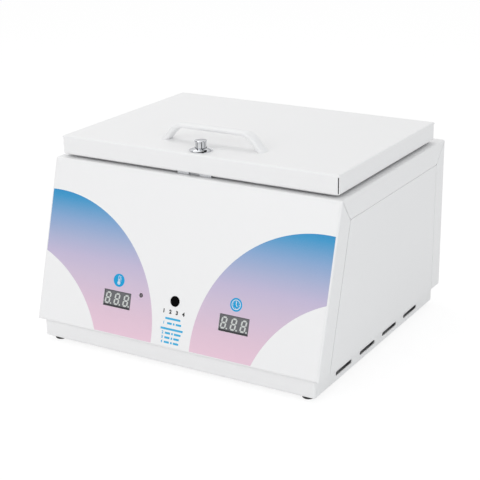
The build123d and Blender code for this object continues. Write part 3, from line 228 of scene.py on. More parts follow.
def soft_grain_group():
    """Grain of a coat or a moulding: fine bumps, and a slow drift of tone."""
    group, given, result = new_group(
        "soft_grain", [("Grain", 800.0), ("Drift", 9.0), ("Detail", 2.0)], ["Height", "Tone"])
    place = object_place(group)
    fine = noise(group, place, given["Grain"], given["Detail"], roughness=0.55)
    group.links.new(fine, result["Height"])
    group.links.new(drift(group, place, given["Drift"]), result["Tone"])
    return group


def drawn_lines_group():
    """Brushed sheet: long fine lines along the axis whose scale is small."""
    group, given, result = new_group(
        "drawn_lines", [("Stretch", (60.0, 3200.0, 3200.0))], ["Height", "Tone"])
    scaled = vector_maths(group, "MULTIPLY", object_place(group), given["Stretch"])
    fine = noise(group, scaled, 1.0, detail=3.0, roughness=0.65)
    broad = noise(group, scaled, broad_scale)
    fine_part = maths(group, "MULTIPLY", fine, fine_share)
    broad_part = maths(group, "MULTIPLY", broad, 1 - fine_share)
    group.links.new(fine, result["Height"])
    group.links.new(maths(group, "ADD", fine_part, broad_part), result["Tone"])
    return group


def zinc_flakes_group():
    """Zinc crystals: cells that each have their own tone, with uneven borders."""
    group, given, result = new_group("zinc_flakes", [("Flakes", 130.0)], ["Height", "Tone"])
    place = object_place(group)
    warp = add_node(group, "ShaderNodeTexNoise", {"Vector": place, "Scale": warp_scale})
    push = vector_maths(group, "MULTIPLY", warp.outputs["Color"], warp_push)
    moved = vector_maths(group, "ADD", place, push)
    cells = add_node(group, "ShaderNodeTexVoronoi", {"Vector": moved, "Scale": given["Flakes"]})
    tone = add_node(group, "ShaderNodeSeparateColor", {"Color": cells.outputs["Color"]}).outputs[0]
    group.links.new(cells.outputs["Distance"], result["Height"])
    group.links.new(tone, result["Tone"])
    return group


def fibres_group():
    """Pressed fibres: stretched noise in two directions, laid over each other."""
    group, given, result = new_group("fibres", [("Fibre", 240.0)], ["Height", "Tone"])
    place = object_place(group)
    layers = []
    for stretch in fibre_stretches:
        drawn_out = vector_maths(group, "MULTIPLY", place, stretch)
        layers.append(noise(group, drawn_out, given["Fibre"], detail=4.0, roughness=0.7))
    group.links.new(largest(group, *layers), result["Height"])
    group.links.new(drift(group, place, fibre_drift), result["Tone"])
    return group


def scuffs_group():
    """Hairlines of handling in every direction, sparse and faint."""
    group, given, result = new_group("scuffs", [("Density", 240.0)], ["Height", "Tone"])
    place = object_place(group)
    lines = []
    for turn in scuff_turns:
        spun = add_node(group, "ShaderNodeVectorRotate", {
            "Vector": place, "Rotation": (turn, 0.7 * turn, 1.3 * turn),
        }, rotation_type="EULER_XYZ").outputs[0]
        drawn_out = vector_maths(group, "MULTIPLY", spun, scuff_stretch)
        value = noise(group, drawn_out, given["Density"], detail=1.0, roughness=0.4)
        lines.append(map_range(group, value, *hairline_band, 0.0, 1.0))
    group.links.new(largest(group, *lines), result["Height"])
    group.links.new(drift(group, place, scuff_drift), result["Tone"])
    return group


def panel_place_group():
    """Where a point lies on the front panel: U across and V up the slope, in millimetres."""
    group, _, result = new_group("panel_place", [], ["U", "V"])
    from_foot = vector_maths(group, "SUBTRACT", object_place(group), panel_origin)
    for label, axis in (("U", Vector((1, 0, 0))), ("V", panel_up)):
        along = vector_maths(group, "DOT_PRODUCT", from_foot, axis / MM)
        group.links.new(along, result[label])
    return group


# The bands in which a noise texture mostly moves, and the share at its top that makes hairlines
tone_band, wide_band = (0.3, 0.7), (0.25, 0.75)
hairline_band = (0.68, 0.76)

# How rough every clear coat is
coat_roughness = 0.1

groups = {
    "grain": soft_grain_group(),
    "lines": drawn_lines_group(),
    "flakes": zinc_flakes_group(),
    "fibres": fibres_group(),
    "scuffs": scuffs_group(),
    "panel": panel_place_group(),
}


def use_group(tree, kind, values=None):
    """Places a shared effect in a material, with this material's own values."""
    return add_node(tree, "ShaderNodeGroup", values, node_tree=groups[kind]).outputs


def new_material(name):
    """A material with its tree and its shader."""
    material = bpy.data.materials.new(name)
    material.use_nodes = True
    shader = material.node_tree.nodes["Principled BSDF"]
    return material, material.node_tree, shader


def mix_colour(tree, factor, first, second):
    """A Mix node's colour."""
    sockets = {0: factor, 6: first, 7: second}
    return add_node(tree, "ShaderNodeMix", sockets, data_type="RGBA").outputs[2]


def dress(tree, shader, colour, roughness, height, relief, strength=1.0):
    """Links a finish's colour, its roughness and its relief of a depth in millimetres."""
    bump = add_node(tree, "ShaderNodeBump", {
        "Strength": strength, "Distance": relief * MM, "Height": height,
    })
    tree.links.new(colour, shader.inputs["Base Color"])
    tree.links.new(roughness, shader.inputs["Roughness"])
    tree.links.new(bump.outputs[0], shader.inputs["Normal"])


def shade(colour, share):
    """A colour made darker or lighter by a share."""
    return tuple(channel * share for channel in colour[:3]) + (1.0,)


def surface(name, colour, rough, effect="grain", relief=0.02, spread=0.03, rough_spread=0.06,
            metallic=0.0, coat=0.0, sheen=0.0, specular=0.5, **values):
    """A finish whose colour and roughness drift; values are those of its effect's own sockets."""
    material, tree, shader = new_material(name)
    effects = use_group(tree, effect, values)
    tone, half = effects["Tone"], rough_spread / 2
    drifting = mix_colour(tree, tone, shade(colour, 1 - spread), shade(colour, 1 + spread))
    roughness = map_range(tree, tone, *wide_band, rough - half, rough + half)
    dress(tree, shader, drifting, roughness, effects["Height"], relief)
    for socket, value in (
            ("Metallic", metallic), ("Specular IOR Level", specular), ("Coat Weight", coat),
            ("Coat Roughness", coat_roughness), ("Sheen Weight", sheen)):
        shader.inputs[socket].default_value = value
    return material


# The inks: they take less of a highlight than paint does
print_specular = 0.22
print_grain = 2600.0
ink_values = {"Grain": print_grain, "Drift": 300.0}

# Stops of the printed fields, in millimetres up the slope from the panel's foot
field_stops = [
    (6, (233, 200, 217)), (28, (225, 196, 214)), (66, (207, 191, 214)), (86, (195, 185, 214)),
    (106, (170, 178, 211)), (127, (134, 167, 209)), (145, (84, 155, 204)),
    (153, (48, 149, 202)), (161, (8, 141, 198)),
]
field_values = {"Grain": print_grain, "Drift": 1400.0, "Detail": 1.0}
field_relief, field_roughness = 0.002, (0.36, 0.42)
dot_colour, dot_share = (0.9, 0.9, 0.92, 1.0), 0.05


def field_finish():
    """The printed fields: a gradient up the slope, under a satin film."""
    material, tree, shader = new_material("graded_print")
    shader.inputs["Specular IOR Level"].default_value = print_specular
    height = maths(tree, "DIVIDE", use_group(tree, "panel")["V"], panel_length)
    ramp = add_node(tree, "ShaderNodeValToRGB", {"Fac": height})
    stops = ramp.color_ramp.elements
    stops.remove(stops[-1])
    for index, (level, colour) in enumerate(field_stops):
        stop = stops[0] if index == 0 else stops.new(level / panel_length)
        stop.position = level / panel_length
        stop.color = srgb(*colour)
    effects = use_group(tree, "grain", field_values)
    dots = map_range(tree, effects["Tone"], *tone_band, 0.0, dot_share)
    colour = mix_colour(tree, dots, ramp.outputs["Color"], dot_colour)
    roughness = map_range(tree, effects["Tone"], *tone_band, *field_roughness)
    dress(tree, shader, colour, roughness, effects["Height"], field_relief)
    return material


# The display's face: its painted shade, from its recess in the panel, fades out between two
# distances from each edge, in millimetres
side_fade, foot_fade, head_fade = (0.2, 0.9), (1.3, 2.4), (0.2, 0.7)
head_share = 0.7
display_dark, display_light = srgb(96, 97, 100), srgb(110, 110, 114)
# The colour of the painted shade round the display's face
display_painted_shade = srgb(46, 46, 50)
display_values = {"Grain": 1500.0, "Drift": 300.0, "Detail": 3.0}
display_relief, display_roughness, display_specular = 0.01, (0.38, 0.5), 0.35


def display_finish():
    """The display's face, with painted shade towards its edges and along its foot, where its recess
    shades it.
    """
    material, tree, shader = new_material("display_face")
    shader.inputs["Specular IOR Level"].default_value = display_specular
    place = use_group(tree, "panel")
    from_middle = maths(tree, "SUBTRACT", maths(tree, "ABSOLUTE", place["U"]), display_u)
    to_side = maths(tree, "SUBTRACT", display_width / 2, maths(tree, "ABSOLUTE", from_middle))
    to_foot = maths(tree, "SUBTRACT", place["V"], display_v - display_height / 2)
    to_head = maths(tree, "SUBTRACT", display_v + display_height / 2, place["V"])
    side_shade = map_range(tree, to_side, *side_fade, 1.0, 0.0)
    foot_shade = map_range(tree, to_foot, *foot_fade, 1.0, 0.0)
    head_shade = map_range(tree, to_head, *head_fade, head_share, 0.0)
    # How much painted shade each point takes: the most of the three edges
    edge = largest(tree, side_shade, foot_shade, head_shade)
    effects = use_group(tree, "grain", display_values)
    face = mix_colour(tree, effects["Tone"], display_dark, display_light)
    colour = mix_colour(tree, edge, face, display_painted_shade)
    roughness = map_range(tree, effects["Tone"], *tone_band, *display_roughness)
    dress(tree, shader, colour, roughness, effects["Height"], display_relief)
    return material


chrome_dark, chrome_light = (0.56, 0.57, 0.59, 1.0), (0.66, 0.67, 0.69, 1.0)
chrome_polish, hairline_roughness = 0.07, 0.08
chrome_relief, chrome_bump = 0.002, 0.4
chrome_values = {"Density": 160.0}


def chrome_finish():
    """Polished chrome with a few hairlines."""
    material, tree, shader = new_material("bright_chrome")
    effects = use_group(tree, "scuffs", chrome_values)
    shader.inputs["Metallic"].default_value = 1.0
    colour = mix_colour(tree, effects["Tone"], chrome_dark, chrome_light)
    scratched = maths(tree, "MULTIPLY", effects["Height"], hairline_roughness)
    roughness = maths(tree, "ADD", scratched, chrome_polish)
    dress(tree, shader, colour, roughness, effects["Height"], chrome_relief, chrome_bump)
    return material


finishes = {
    part + "_paint": surface(
        part + "_powder_coat", (0.880, 0.880, 0.884, 1.0), 0.46, relief=0.03, spread=0.006,
        Grain=650.0, Drift=7.0)
    for part in ("cabinet", "lid")
}
finishes |= {
    "white_film": surface(
        "satin_film", (0.885, 0.885, 0.889, 1.0), 0.38, relief=0.003, spread=0.005, specular=0.4,
        Grain=2200.0, Drift=12.0),
    "field_print": field_finish(),
    "icon_print": surface(
        "icon_ink", srgb(18, 158, 214), 0.4, relief=0.003, spread=0.02, specular=print_specular,
        **ink_values),
    "handle_plastic": surface(
        "handle_moulding", (0.86, 0.862, 0.868, 1.0), 0.36, relief=0.012, spread=0.006, coat=0.15,
        Grain=1200.0, Drift=20.0),
    "display_plastic": display_finish(),
    "segment_plastic": surface(
        "segment_windows", srgb(204, 208, 205), 0.42, relief=0.01, spread=0.02,
        Grain=1500.0, Drift=240.0),
    "lamp_plastic": surface(
        "smoked_lamp", srgb(92, 82, 90), 0.18, relief=0.004, spread=0.12, coat=0.4,
        Grain=900.0, Drift=260.0),
    "black_plastic": surface(
        "black_moulding", srgb(3, 3, 3), 0.5, spread=0.2, specular=0.03, Grain=1500.0, Drift=60.0),
    "brown_plastic": surface(
        "brown_moulding", srgb(74, 54, 40), 0.48, spread=0.12, Grain=1300.0, Drift=90.0),
    "board_green": surface(
        "solder_mask", srgb(24, 92, 48), 0.34, relief=0.008, spread=0.14, coat=0.3,
        Grain=900.0, Drift=70.0),
    "black_rubber": surface(
        "foot_rubber", srgb(30, 30, 31), 0.72, relief=0.04, spread=0.2, Grain=1700.0, Drift=120.0),
    "silicone": surface(
        "gasket_silicone", (0.62, 0.61, 0.57, 1.0), 0.44, relief=0.01, spread=0.04, sheen=0.2,
        Grain=900.0, Drift=40.0),
    "stainless": surface(
        "brushed_stainless", (0.60, 0.60, 0.61, 1.0), 0.3, "lines", relief=0.004,
        spread=0.06, rough_spread=0.16, metallic=1.0),
    "galvanised": surface(
        "galvanised_sheet", (0.52, 0.54, 0.56, 1.0), 0.42, "flakes", relief=0.01,
        spread=0.16, rough_spread=0.22, metallic=1.0),
    "zinc_steel": surface(
        "zinc_plating", (0.63, 0.64, 0.66, 1.0), 0.32, "scuffs", relief=0.004,
        spread=0.07, rough_spread=0.12, metallic=1.0),
    "chrome_plate": chrome_finish(),
    "heater_sheath": surface(
        "oxidised_sheath", srgb(104, 96, 90), 0.5, "scuffs", relief=0.01,
        spread=0.22, rough_spread=0.2, metallic=0.8),
    "mineral_wool": surface(
        "pressed_wool", (0.46, 0.40, 0.25, 1.0), 0.9, "fibres", relief=1.2, spread=0.2, sheen=0.3),
    "copper_coil": surface(
        "taped_coil", (0.36, 0.14, 0.04, 1.0), 0.4, "lines", relief=0.05, spread=0.2,
        Stretch=(100.0, 100.0, 2200.0)),
}
ink_black = surface(
    "black_ink", srgb(10, 10, 11), 0.4, relief=0.003, spread=0.1, specular=0.1, **ink_values)
list_ink = surface(
    "list_ink", srgb(62, 176, 222), 0.4, relief=0.003, spread=0.02, specular=print_specular,
    **ink_values)
ink_white = surface(
    "white_ink", (0.86, 0.86, 0.87, 1.0), 0.4, relief=0.003, spread=0.01, **ink_values)
blade_metal = surface(
    "nickel_blade", (0.66, 0.63, 0.56, 1.0), 0.26, "scuffs", relief=0.004, spread=0.06,
    rough_spread=0.1, metallic=1.0)

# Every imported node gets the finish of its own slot
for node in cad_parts.values():
    for holder in node.material_slots:
        slot_name = holder.material.name.split(".")[0]
        holder.material = finishes[slot_name]


# Prints on the front film, let into it a little and standing just proud

print_low, print_high = film_face - 0.02, film_face + 0.03
print_middle, print_thickness = (print_low + print_high) / 2, print_high - print_low
stem_steps, bulb_steps, dot_steps = 12, 32, 10


def print_curve(outlines):
    """A flat print from closed outlines, with holes where one lies in another."""
    curve = bpy.data.curves.new("print", "CURVE")
    curve.dimensions = "2D"
    curve.fill_mode = "BOTH"
    curve.extrude = print_thickness / 2 * MM
    for points in outlines:
        spline = curve.splines.new("POLY")
        spline.points.add(len(points) - 1)
        for point, (u, v) in zip(spline.points, points):
            point.co = (u * MM, v * MM, 0, 1)
        spline.use_cyclic_u = True
    return baked(placed("print", curve), "print")


def circle_points(u, v, radius, steps=48, start=0.0, sweep=2 * pi):
    """Points along a circle or an arc."""
    count = steps if sweep >= 2 * pi else steps + 1
    angles = [start + sweep * index / steps for index in range(count)]
    return [(u + radius * cos(angle), v + radius * sin(angle)) for angle in angles]


def capsule_points(u, low, high, half_width, bulb):
    """A thermometer's outline: a round-ended stem that runs into a bulb at its foot."""
    neck = (bulb ** 2 - half_width ** 2) ** 0.5
    angle = atan2(neck, half_width)
    stem = circle_points(u, high, half_width, stem_steps, sweep=pi)
    foot = circle_points(u, low, bulb, bulb_steps, start=pi - angle, sweep=pi + 2 * angle)
    return stem + foot


def hand_points(u, v, angle, length, half):
    """A clock's hand as a thin rectangle from the middle."""
    along, across = sin(angle), cos(angle)
    corners = [(-half, -half), (-half, half), (length, half), (length, -half)]
    return [(u + a * along + b * across, v + a * across - b * along) for a, b in corners]


def joined(things, name, material):
    """Several meshes as one object."""
    bm = bmesh.new()
    for thing in things:
        bm.from_mesh(thing.data)
        bpy.data.objects.remove(thing)
    mesh = bpy.data.meshes.new(name)
    bm.to_mesh(mesh)
    bm.free()
    return link(mesh, name, material)


def finish_print(pieces, name, ink, slot):
    """Joins flat prints into one piece on the panel's film."""
    piece = joined(pieces, name, ink)
    piece.data.transform(on_panel(print_middle))
    finish_piece(piece, "cabinet", slot)


# The thermometer, from the disc's middle: head, half width and bulb of its outlines, and marks
glass_foot = -3.1
glass_outlines = ((4.2, 1.3, 2.05), (4.2, 0.85, 1.55), (1.2, 0.35, 1.0))
mark_levels = (-0.6, 1.0, 2.6, 4.2)
mark_near, mark_far, mark_height = 1.9, 3.1, 0.5

# The clock: radii of its ring, then angle and length of each hand, and the dots of its hours
clock_outside, clock_inside = 5.7, 5.0
clock_hands = ((0, 3.2), (140, 2.4))
hand_half = 0.42
hour_radius, hour_dot, quarter_dot = 3.9, 0.28, 0.42


def thermometer(u, v):
    """The left icon: a hollow glass with its column and four marks."""
    glass = [
        capsule_points(u, v + glass_foot, v + head, half_width, bulb)
        for head, half_width, bulb in glass_outlines
    ]
    near, far = u + mark_near, u + mark_far
    for level in mark_levels:
        low, high = v + level, v + level + mark_height
        glass.append([(near, low), (far, low), (far, high), (near, high)])
    return print_curve(glass)


def clock(u, v):
    """The right icon: a ring, two hands and the dots of the hours."""
    ring = [circle_points(u, v, clock_outside), circle_points(u, v, clock_inside)]
    parts = [print_curve(ring)]
    for angle, length in clock_hands:
        parts.append(print_curve([hand_points(u, v, radians(angle), length, hand_half)]))
    for hour in range(12):
        angle = hour * pi / 6
        size = hour_dot if hour % 3 else quarter_dot
        hour_u, hour_v = u + sin(angle) * hour_radius, v + cos(angle) * hour_radius
        parts.append(print_curve([circle_points(hour_u, hour_v, size, dot_steps)]))
    return parts


def icon_pictures():
    """A thermometer on the left disc and a clock on the right one, in white."""
    pictures = [thermometer(-display_u, icon_v)] + clock(display_u, icon_v)
    finish_print(pictures, "icon_pictures", ink_white, "white_film")


# The font's size for a digit one millimetre high
size_of_digit = 1.39


def number_mesh(text, u, v, height, boldness):
    """Plain numbers as a flat print, centred on a place of the panel."""
    curve = bpy.data.curves.new("digit", "FONT")
    curve.body = text
    curve.align_x = curve.align_y = "CENTER"
    curve.size = height * size_of_digit * MM
    curve.offset = boldness * MM
    curve.extrude = print_thickness / 2 * MM
    piece = baked(placed("digit", curve), "digit")
    piece.data.transform(Matrix.Translation(Vector((u, v, 0)) * MM))
    return piece


# Rows of the programme list: level, number, and bars as pairs of left and right end
list_rows = [
    (34.8, "", [(-10.2, 10.2)]),
    (29.3, "1", [(-7.0, -0.6), (0.8, 3.2), (4.6, 12.0)]),
    (22.8, "", [(-15.0, 15.0)]),
    (17.9, "2", [(-8.4, -1.4), (0.2, 2.4), (3.8, 12.8)]),
    (12.6, "3", [(-8.4, -1.4), (0.2, 2.4), (3.8, 11.2)]),
    (7.4, "4", [(-8.4, -1.4), (0.2, 2.4), (3.8, 11.2)]),
]
bar_height = 2.4
row_number_u, label_v, label_pitch = -11.6, 42.6, 8.8

# Height and boldness of the numbers
row_type, label_type = (3.2, 0.22), (4.3, 0.32)


def programme_numbers():
    """Black numbers under the button, and blue ones that head the rows of the list."""
    label = [
        number_mesh(str(index + 1), (index - 1.5) * label_pitch, label_v, *label_type)
        for index in range(4)
    ]
    finish_print(label, "programme_label", ink_black, "black_plastic")
    heads = [
        number_mesh(text, row_number_u, level, *row_type) for level, text, _ in list_rows if text
    ]
    finish_print(heads, "programme_numbers", list_ink, "icon_print")


# Geometry node trees

def new_tree(name, inputs):
    """A geometry tree that takes geometry, the named inputs and a finish, and gives geometry."""
    tree = bpy.data.node_groups.new(name, "GeometryNodeTree")
    for label, kind in [("Geometry", "Geometry")] + inputs + [("Finish", "Material")]:
        tree.interface.new_socket(label, in_out="INPUT", socket_type="NodeSocket" + kind)
    tree.interface.new_socket("Geometry", in_out="OUTPUT", socket_type="NodeSocketGeometry")
    given = tree.nodes.new("NodeGroupInput").outputs
    result = tree.nodes.new("NodeGroupOutput").inputs
    return tree, given, result


def grow(seed_mesh, tree, values, name, material):
    """Runs a tree on a mesh and keeps what it makes as a plain mesh."""
    holder = placed(name, seed_mesh)
    modifier = holder.modifiers.new(tree.name, "NODES")
    modifier.node_group = tree
    given = {**values, "Finish": material}
    for item in tree.interface.items_tree:
        if item.item_type == "SOCKET" and item.in_out == "INPUT" and item.name in given:
            modifier[item.identifier] = given[item.name]
    holder.update_tag()
    return baked(holder, name, material)


def rectangle(tree, width, height):
    """A rectangle's outline about the origin."""
    return add_node(tree, "GeometryNodeCurvePrimitiveQuadrilateral", {
        "Width": width, "Height": height,
    }).outputs[0]


def named_vector(tree, name):
    """The direction or size that a point mesh carries under a name."""
    node = add_node(
        tree, "GeometryNodeInputNamedAttribute", {"Name": name}, data_type="FLOAT_VECTOR")
    return node.outputs["Attribute"]


def end_tree(tree, geometry, given, result):
    """Ends a tree: realizes what it has placed and gives it its material."""
    real = add_node(tree, "GeometryNodeRealizeInstances", {0: geometry})
    painted = add_node(tree, "GeometryNodeSetMaterial", {"Geometry": real.outputs[0]})
    tree.links.new(given["Finish"], painted.inputs["Material"])
    tree.links.new(painted.outputs[0], result["Geometry"])
    return tree


def point_mesh(places, vectors=None):
    """A mesh of bare points, with a named direction or size at each."""
    mesh = bpy.data.meshes.new("points")
    mesh.from_pydata([tuple(place) for place in places], [], [])
    for label, values in (vectors or {}).items():
        attribute = mesh.attributes.new(label, "FLOAT_VECTOR", "POINT")
        for item, value in zip(attribute.data, values):
            item.vector = value
    return mesh


weld_distance = 1e-7


def bar_tree():
    """Flat bars, one at each point, as long as the point says."""
    tree, given, result = new_tree("list_bars", [("Height", "Float"), ("Thickness", "Float")])
    outline = rectangle(tree, 1.0, given["Height"])
    filled = add_node(tree, "GeometryNodeFillCurve", {0: outline})
    raised = add_node(tree, "GeometryNodeExtrudeMesh", {
        "Mesh": filled.outputs[0], "Offset Scale": given["Thickness"], "Individual": False,
    })
    both = tree.nodes.new("GeometryNodeJoinGeometry")
    flipped = add_node(tree, "GeometryNodeFlipFaces", {0: filled.outputs[0]})
    tree.links.new(raised.outputs["Mesh"], both.inputs[0])
    tree.links.new(flipped.outputs[0], both.inputs[0])
    welded = add_node(tree, "GeometryNodeMergeByDistance", {
        "Geometry": both.outputs[0], "Distance": weld_distance,
    })
    spread = add_node(tree, "GeometryNodeInstanceOnPoints", {
        "Points": given["Geometry"], "Instance": welded.outputs[0],
        "Scale": named_vector(tree, "size"),
    })
    return end_tree(tree, spread.outputs[0], given, result)


def programme_bars():
    """The bars of the programme list."""
    places, sizes = [], []
    for level, _, ends in list_rows:
        for left, right in ends:
            places.append(Vector(((left + right) / 2, level, 0)) * MM)
            sizes.append(((right - left) * MM, 1.0, 1.0))
    points = point_mesh(places, {"size": sizes})
    bars = grow(points, bar_tree(), {
        "Height": bar_height * MM, "Thickness": print_thickness * MM,
    }, "programme_bars", list_ink)
    bars.data.transform(on_panel(print_low))
    finish_piece(bars, "cabinet", "icon_print")


# Screws

# A turned outline that comes nearer to the axis than this ends in a point there
on_axis = 1e-6


def skin(bm, rings):
    """Faces between neighbouring rings; a ring of one point closes the shape there."""
    for near, far in zip(rings, rings[1:]):
        steps = max(len(near), len(far))
        for i in range(steps):
            j = (i + 1) % steps
            corners = (near, i), (near, j), (far, j), (far, i)
            bm.faces.new(dict.fromkeys(ring[k % len(ring)] for ring, k in corners))


def lathe(outline, steps, closed=False):
    """A turned bmesh from pairs of radius and height in millimetres; a closed one is a ring."""
    bm = bmesh.new()
    rings = []
    for radius, height in outline:
        ring = [(0, 0)] if radius < on_axis else circle_points(0, 0, radius * MM, steps)
        rings.append([bm.verts.new((x, y, height * MM)) for x, y in ring])
    skin(bm, rings + rings[:1] if closed else rings)
    return bm


# A shank: steps round it, rows to a turn, pitch in millimetres and root as a share of the radius
head_steps, shank_steps, rows_per_turn = 28, 16, 4
thread_pitch, root_share = 0.5, 0.82


def thread_rings(radius, length):
    """A helical ridge as a closed shank that hangs from Z 0, in millimetres."""
    bm = bmesh.new()
    root = radius * root_share
    count = max(int(length / thread_pitch) * rows_per_turn, rows_per_turn)
    rows = []
    for row in range(count + 1):
        z = -length * row / count
        ring = []
        for i in range(shank_steps):
            phase = (row / rows_per_turn + i / shank_steps) % 1.0
            out = root + (radius - root) * (1 - abs(2 * phase - 1))
            angle = 2 * pi * i / shank_steps
            ring.append(bm.verts.new((out * MM * cos(angle), out * MM * sin(angle), z * MM)))
        rows.append(ring)
    skin(bm, rows)
    bm.faces.new(rows[0])
    bm.faces.new(list(reversed(rows[-1])))
    return bm


# A recess narrows downwards: shares of its reach and of its width at its foot and its mouth
foot_shares, mouth_shares = (0.45, 0.8), (1.15, 1.0)


def cross_cutter(reach, width, depth, top):
    """Two crossed wedges that cut a driver's recess down from a level, in millimetres."""
    bm = bmesh.new()
    for turn in (0.0, pi / 2):
        spin = Matrix.Rotation(turn, 4, "Z")
        for vert in bmesh.ops.create_cube(bm, size=1.0)["verts"]:
            low = vert.co.z < 0
            long, wide = foot_shares if low else mouth_shares
            vert.co = spin @ Vector((
                2 * vert.co.x * reach * long * MM, vert.co.y * width * wide * MM,
                (top - depth if low else top + depth) * MM,
            ))
    return bm


def build_screw(head, length, radius, recess):
    """One screw: a turned head with a cross recess over a threaded shank."""
    whole_head = from_bmesh(lathe(head, head_steps), "head", smooth=True)
    cutter = from_bmesh(cross_cutter(*recess), "cutter")
    cut = whole_head.modifiers.new("recess", "BOOLEAN")
    cut.operation = "DIFFERENCE"
    cut.solver = "EXACT"
    cut.use_self = True
    cut.object = cutter
    cut_head = baked(whole_head, "head")
    bpy.data.objects.remove(cutter)
    shank = from_bmesh(thread_rings(radius, length), "shank", smooth=True)
    return joined([cut_head, shank], "screw", finishes["zinc_steel"])


# A pan head from seat to crown, as shares of its radius and height
pan_shares = [(0, 0), (1, 0), (1, 0.42), (0.94, 0.66), (0.78, 0.88), (0.5, 1), (0, 1)]
# A countersunk head's rim: where its cone ends under the top, and how far in the top begins
rim_level, rim_inset = 0.12, 0.2


def pan_head(radius, height):
    """A pan head's outline from its seat to its crown."""
    return [(radius * across, height * up) for across, up in pan_shares]


def flush_head(shank, thickness):
    """A countersunk head's outline, its top at Z 0."""
    rim = shank + thickness
    cone = [(0, -thickness), (shank, -thickness), (rim - rim_level, -rim_level)]
    return cone + [(rim - rim_inset, 0), (0, 0)]


def screw_tree():
    """One screw at each point, turned along the point's aim and about itself by a fixed draw."""
    tree, given, result = new_tree("set_screws", [("Screw", "Object"), ("Seed", "Int")])
    lined = add_node(tree, "FunctionNodeAlignRotationToVector", {
        "Vector": named_vector(tree, "aim"),
    }, axis="Z")
    draw = add_node(tree, "FunctionNodeRandomValue", {
        2: 0.0, 3: 2 * pi, "Seed": given["Seed"],
    }, data_type="FLOAT")
    about = add_node(tree, "FunctionNodeAxisAngleToRotation", {
        "Axis": (0, 0, 1), "Angle": draw.outputs[1],
    })
    spun = add_node(tree, "FunctionNodeRotateRotation", {
        "Rotation": lined.outputs[0], "Rotate By": about.outputs[0],
    }, rotation_space="LOCAL")
    master = add_node(tree, "GeometryNodeObjectInfo", {"Object": given["Screw"]})
    spread = add_node(tree, "GeometryNodeInstanceOnPoints", {
        "Points": given["Geometry"], "Instance": master.outputs["Geometry"],
        "Rotation": spun.outputs[0],
    })
    return end_tree(tree, spread.outputs[0], given, result)


# Where the screws sit in the drawing: spans from the middle, pitches, and rows along Y
inlet_x, inlet_z, inlet_span = -128.0, 63.0, 20.0
hinge_span, hinge_pitch = 115, 15
foot_span, foot_rows = 169.5, (-36, 269.5)
lid_middle, liner_spans = 137.5, ((176, 77.81), (80, 125.5))
strike_span = 15
hinge_places = [side * hinge_span + step * hinge_pitch for side in sides for step in sides]
liner_places = [
    (side * across, lid_middle + step * along)
    for across, along in liner_spans for side in sides for step in sides
]

# Each set: node, body, seed, aim, head, shank length and radius, the recess's reach, width,
# depth and top, and the seats
screw_sets = [
    ("inlet_screws", "cabinet", 3, (0, 1, 0), pan_head(2.9, 1.8), 6.6, 1.5,
     (1.6, 0.62, 1.1, 1.8), [at(inlet_x + side * inlet_span, 293.0, inlet_z) for side in sides]),
    ("liner_screws", "lid", 11, (0, 0, -1), pan_head(2.9, 1.35), 5.8, 1.5,
     (1.5, 0.62, 0.9, 1.35), [at(x, y, 219.5) for x, y in liner_places]),
    ("foot_screws", "cabinet", 5, (0, 0, -1), pan_head(3.8, 2.4), 28.2, 1.99,
     (2.2, 0.8, 1.5, 2.4), [at(side * foot_span, y, 3.2) for side in sides for y in foot_rows]),
    ("hinge_screws_body", "cabinet", 7, (0, 0, 1), flush_head(1.5, 1.2), 6.0, 1.49,
     (1.5, 0.6, 0.8, 0.0), [at(x, 281.9, 218.2) for x in hinge_places]),
    ("hinge_screws_lid", "lid", 8, (0, 1, 0), flush_head(1.5, 1.2), 6.0, 1.49,
     (1.5, 0.6, 0.8, 0.0), [at(x, 271.2, 230.94) for x in hinge_places]),
    ("strike_screws", "cabinet", 9, (0, 0, 1), flush_head(1.5, 1.5), 6.3, 1.49,
     (1.6, 0.6, 0.9, 0.0), [at(side * strike_span, 18.12, 218.5) for side in sides]),
]


def set_screws():
    """The visible screws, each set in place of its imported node."""
    tree = screw_tree()
    for node, body, seed, aim, head, length, radius, recess, seats in screw_sets:
        master = build_screw(head, length, radius, recess)
        points = point_mesh(seats, {"aim": [aim] * len(seats)})
        piece = grow(
            points, tree, {"Screw": master, "Seed": seed}, node + "_driven", finishes["zinc_steel"])
        bpy.data.objects.remove(master)
        finish_piece(piece, body, "zinc_steel", node)


# Gasket

gasket_width, gasket_corner, gasket_edge = 9.0, 33.0, 1.2
corner_steps, edge_steps = 16, 6


def gasket_tree():
    """A ring with a rounded section that follows a rectangle with round corners."""
    sizes = ("Width", "Length", "Corner", "Section Width", "Section Height", "Section Corner")
    tree, given, result = new_tree("seal_ring", [(label, "Float") for label in sizes])

    def rounded(width, height, corner, steps):
        return add_node(tree, "GeometryNodeFilletCurve", {
            "Curve": rectangle(tree, given[width], given[height]), "Radius": given[corner],
            "Count": steps,
        }, mode="POLY").outputs[0]

    path = rounded("Width", "Length", "Corner", corner_steps)
    section = rounded("Section Width", "Section Height", "Section Corner", edge_steps)
    swept = add_node(tree, "GeometryNodeCurveToMesh", {"Curve": path, "Profile Curve": section})
    return end_tree(tree, swept.outputs[0], given, result)


def lid_seal():
    """The silicone gasket, in the seat that the liner leaves for it."""
    low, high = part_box("lid_gasket")
    silicone = finishes["silicone"]
    ring = grow(point_mesh([(0, 0, 0)]), gasket_tree(), {
        "Width": high.x - low.x - gasket_width * MM, "Length": high.y - low.y - gasket_width * MM,
        "Corner": (gasket_corner - gasket_width / 2) * MM,
        "Section Width": gasket_width * MM, "Section Height": high.z - low.z,
        "Section Corner": gasket_edge * MM,
    }, "seal_ring", silicone)
    bm = bmesh.new()
    bm.from_mesh(ring.data)
    bpy.data.objects.remove(ring)
    seal = from_bmesh(bm, "seal_ring", silicone, smooth=True)
    seal.data.transform(over("lid_gasket", (low.z + high.z) / 2))
    finish_piece(seal, "lid", "silicone", "lid_gasket")


# Handle and lock

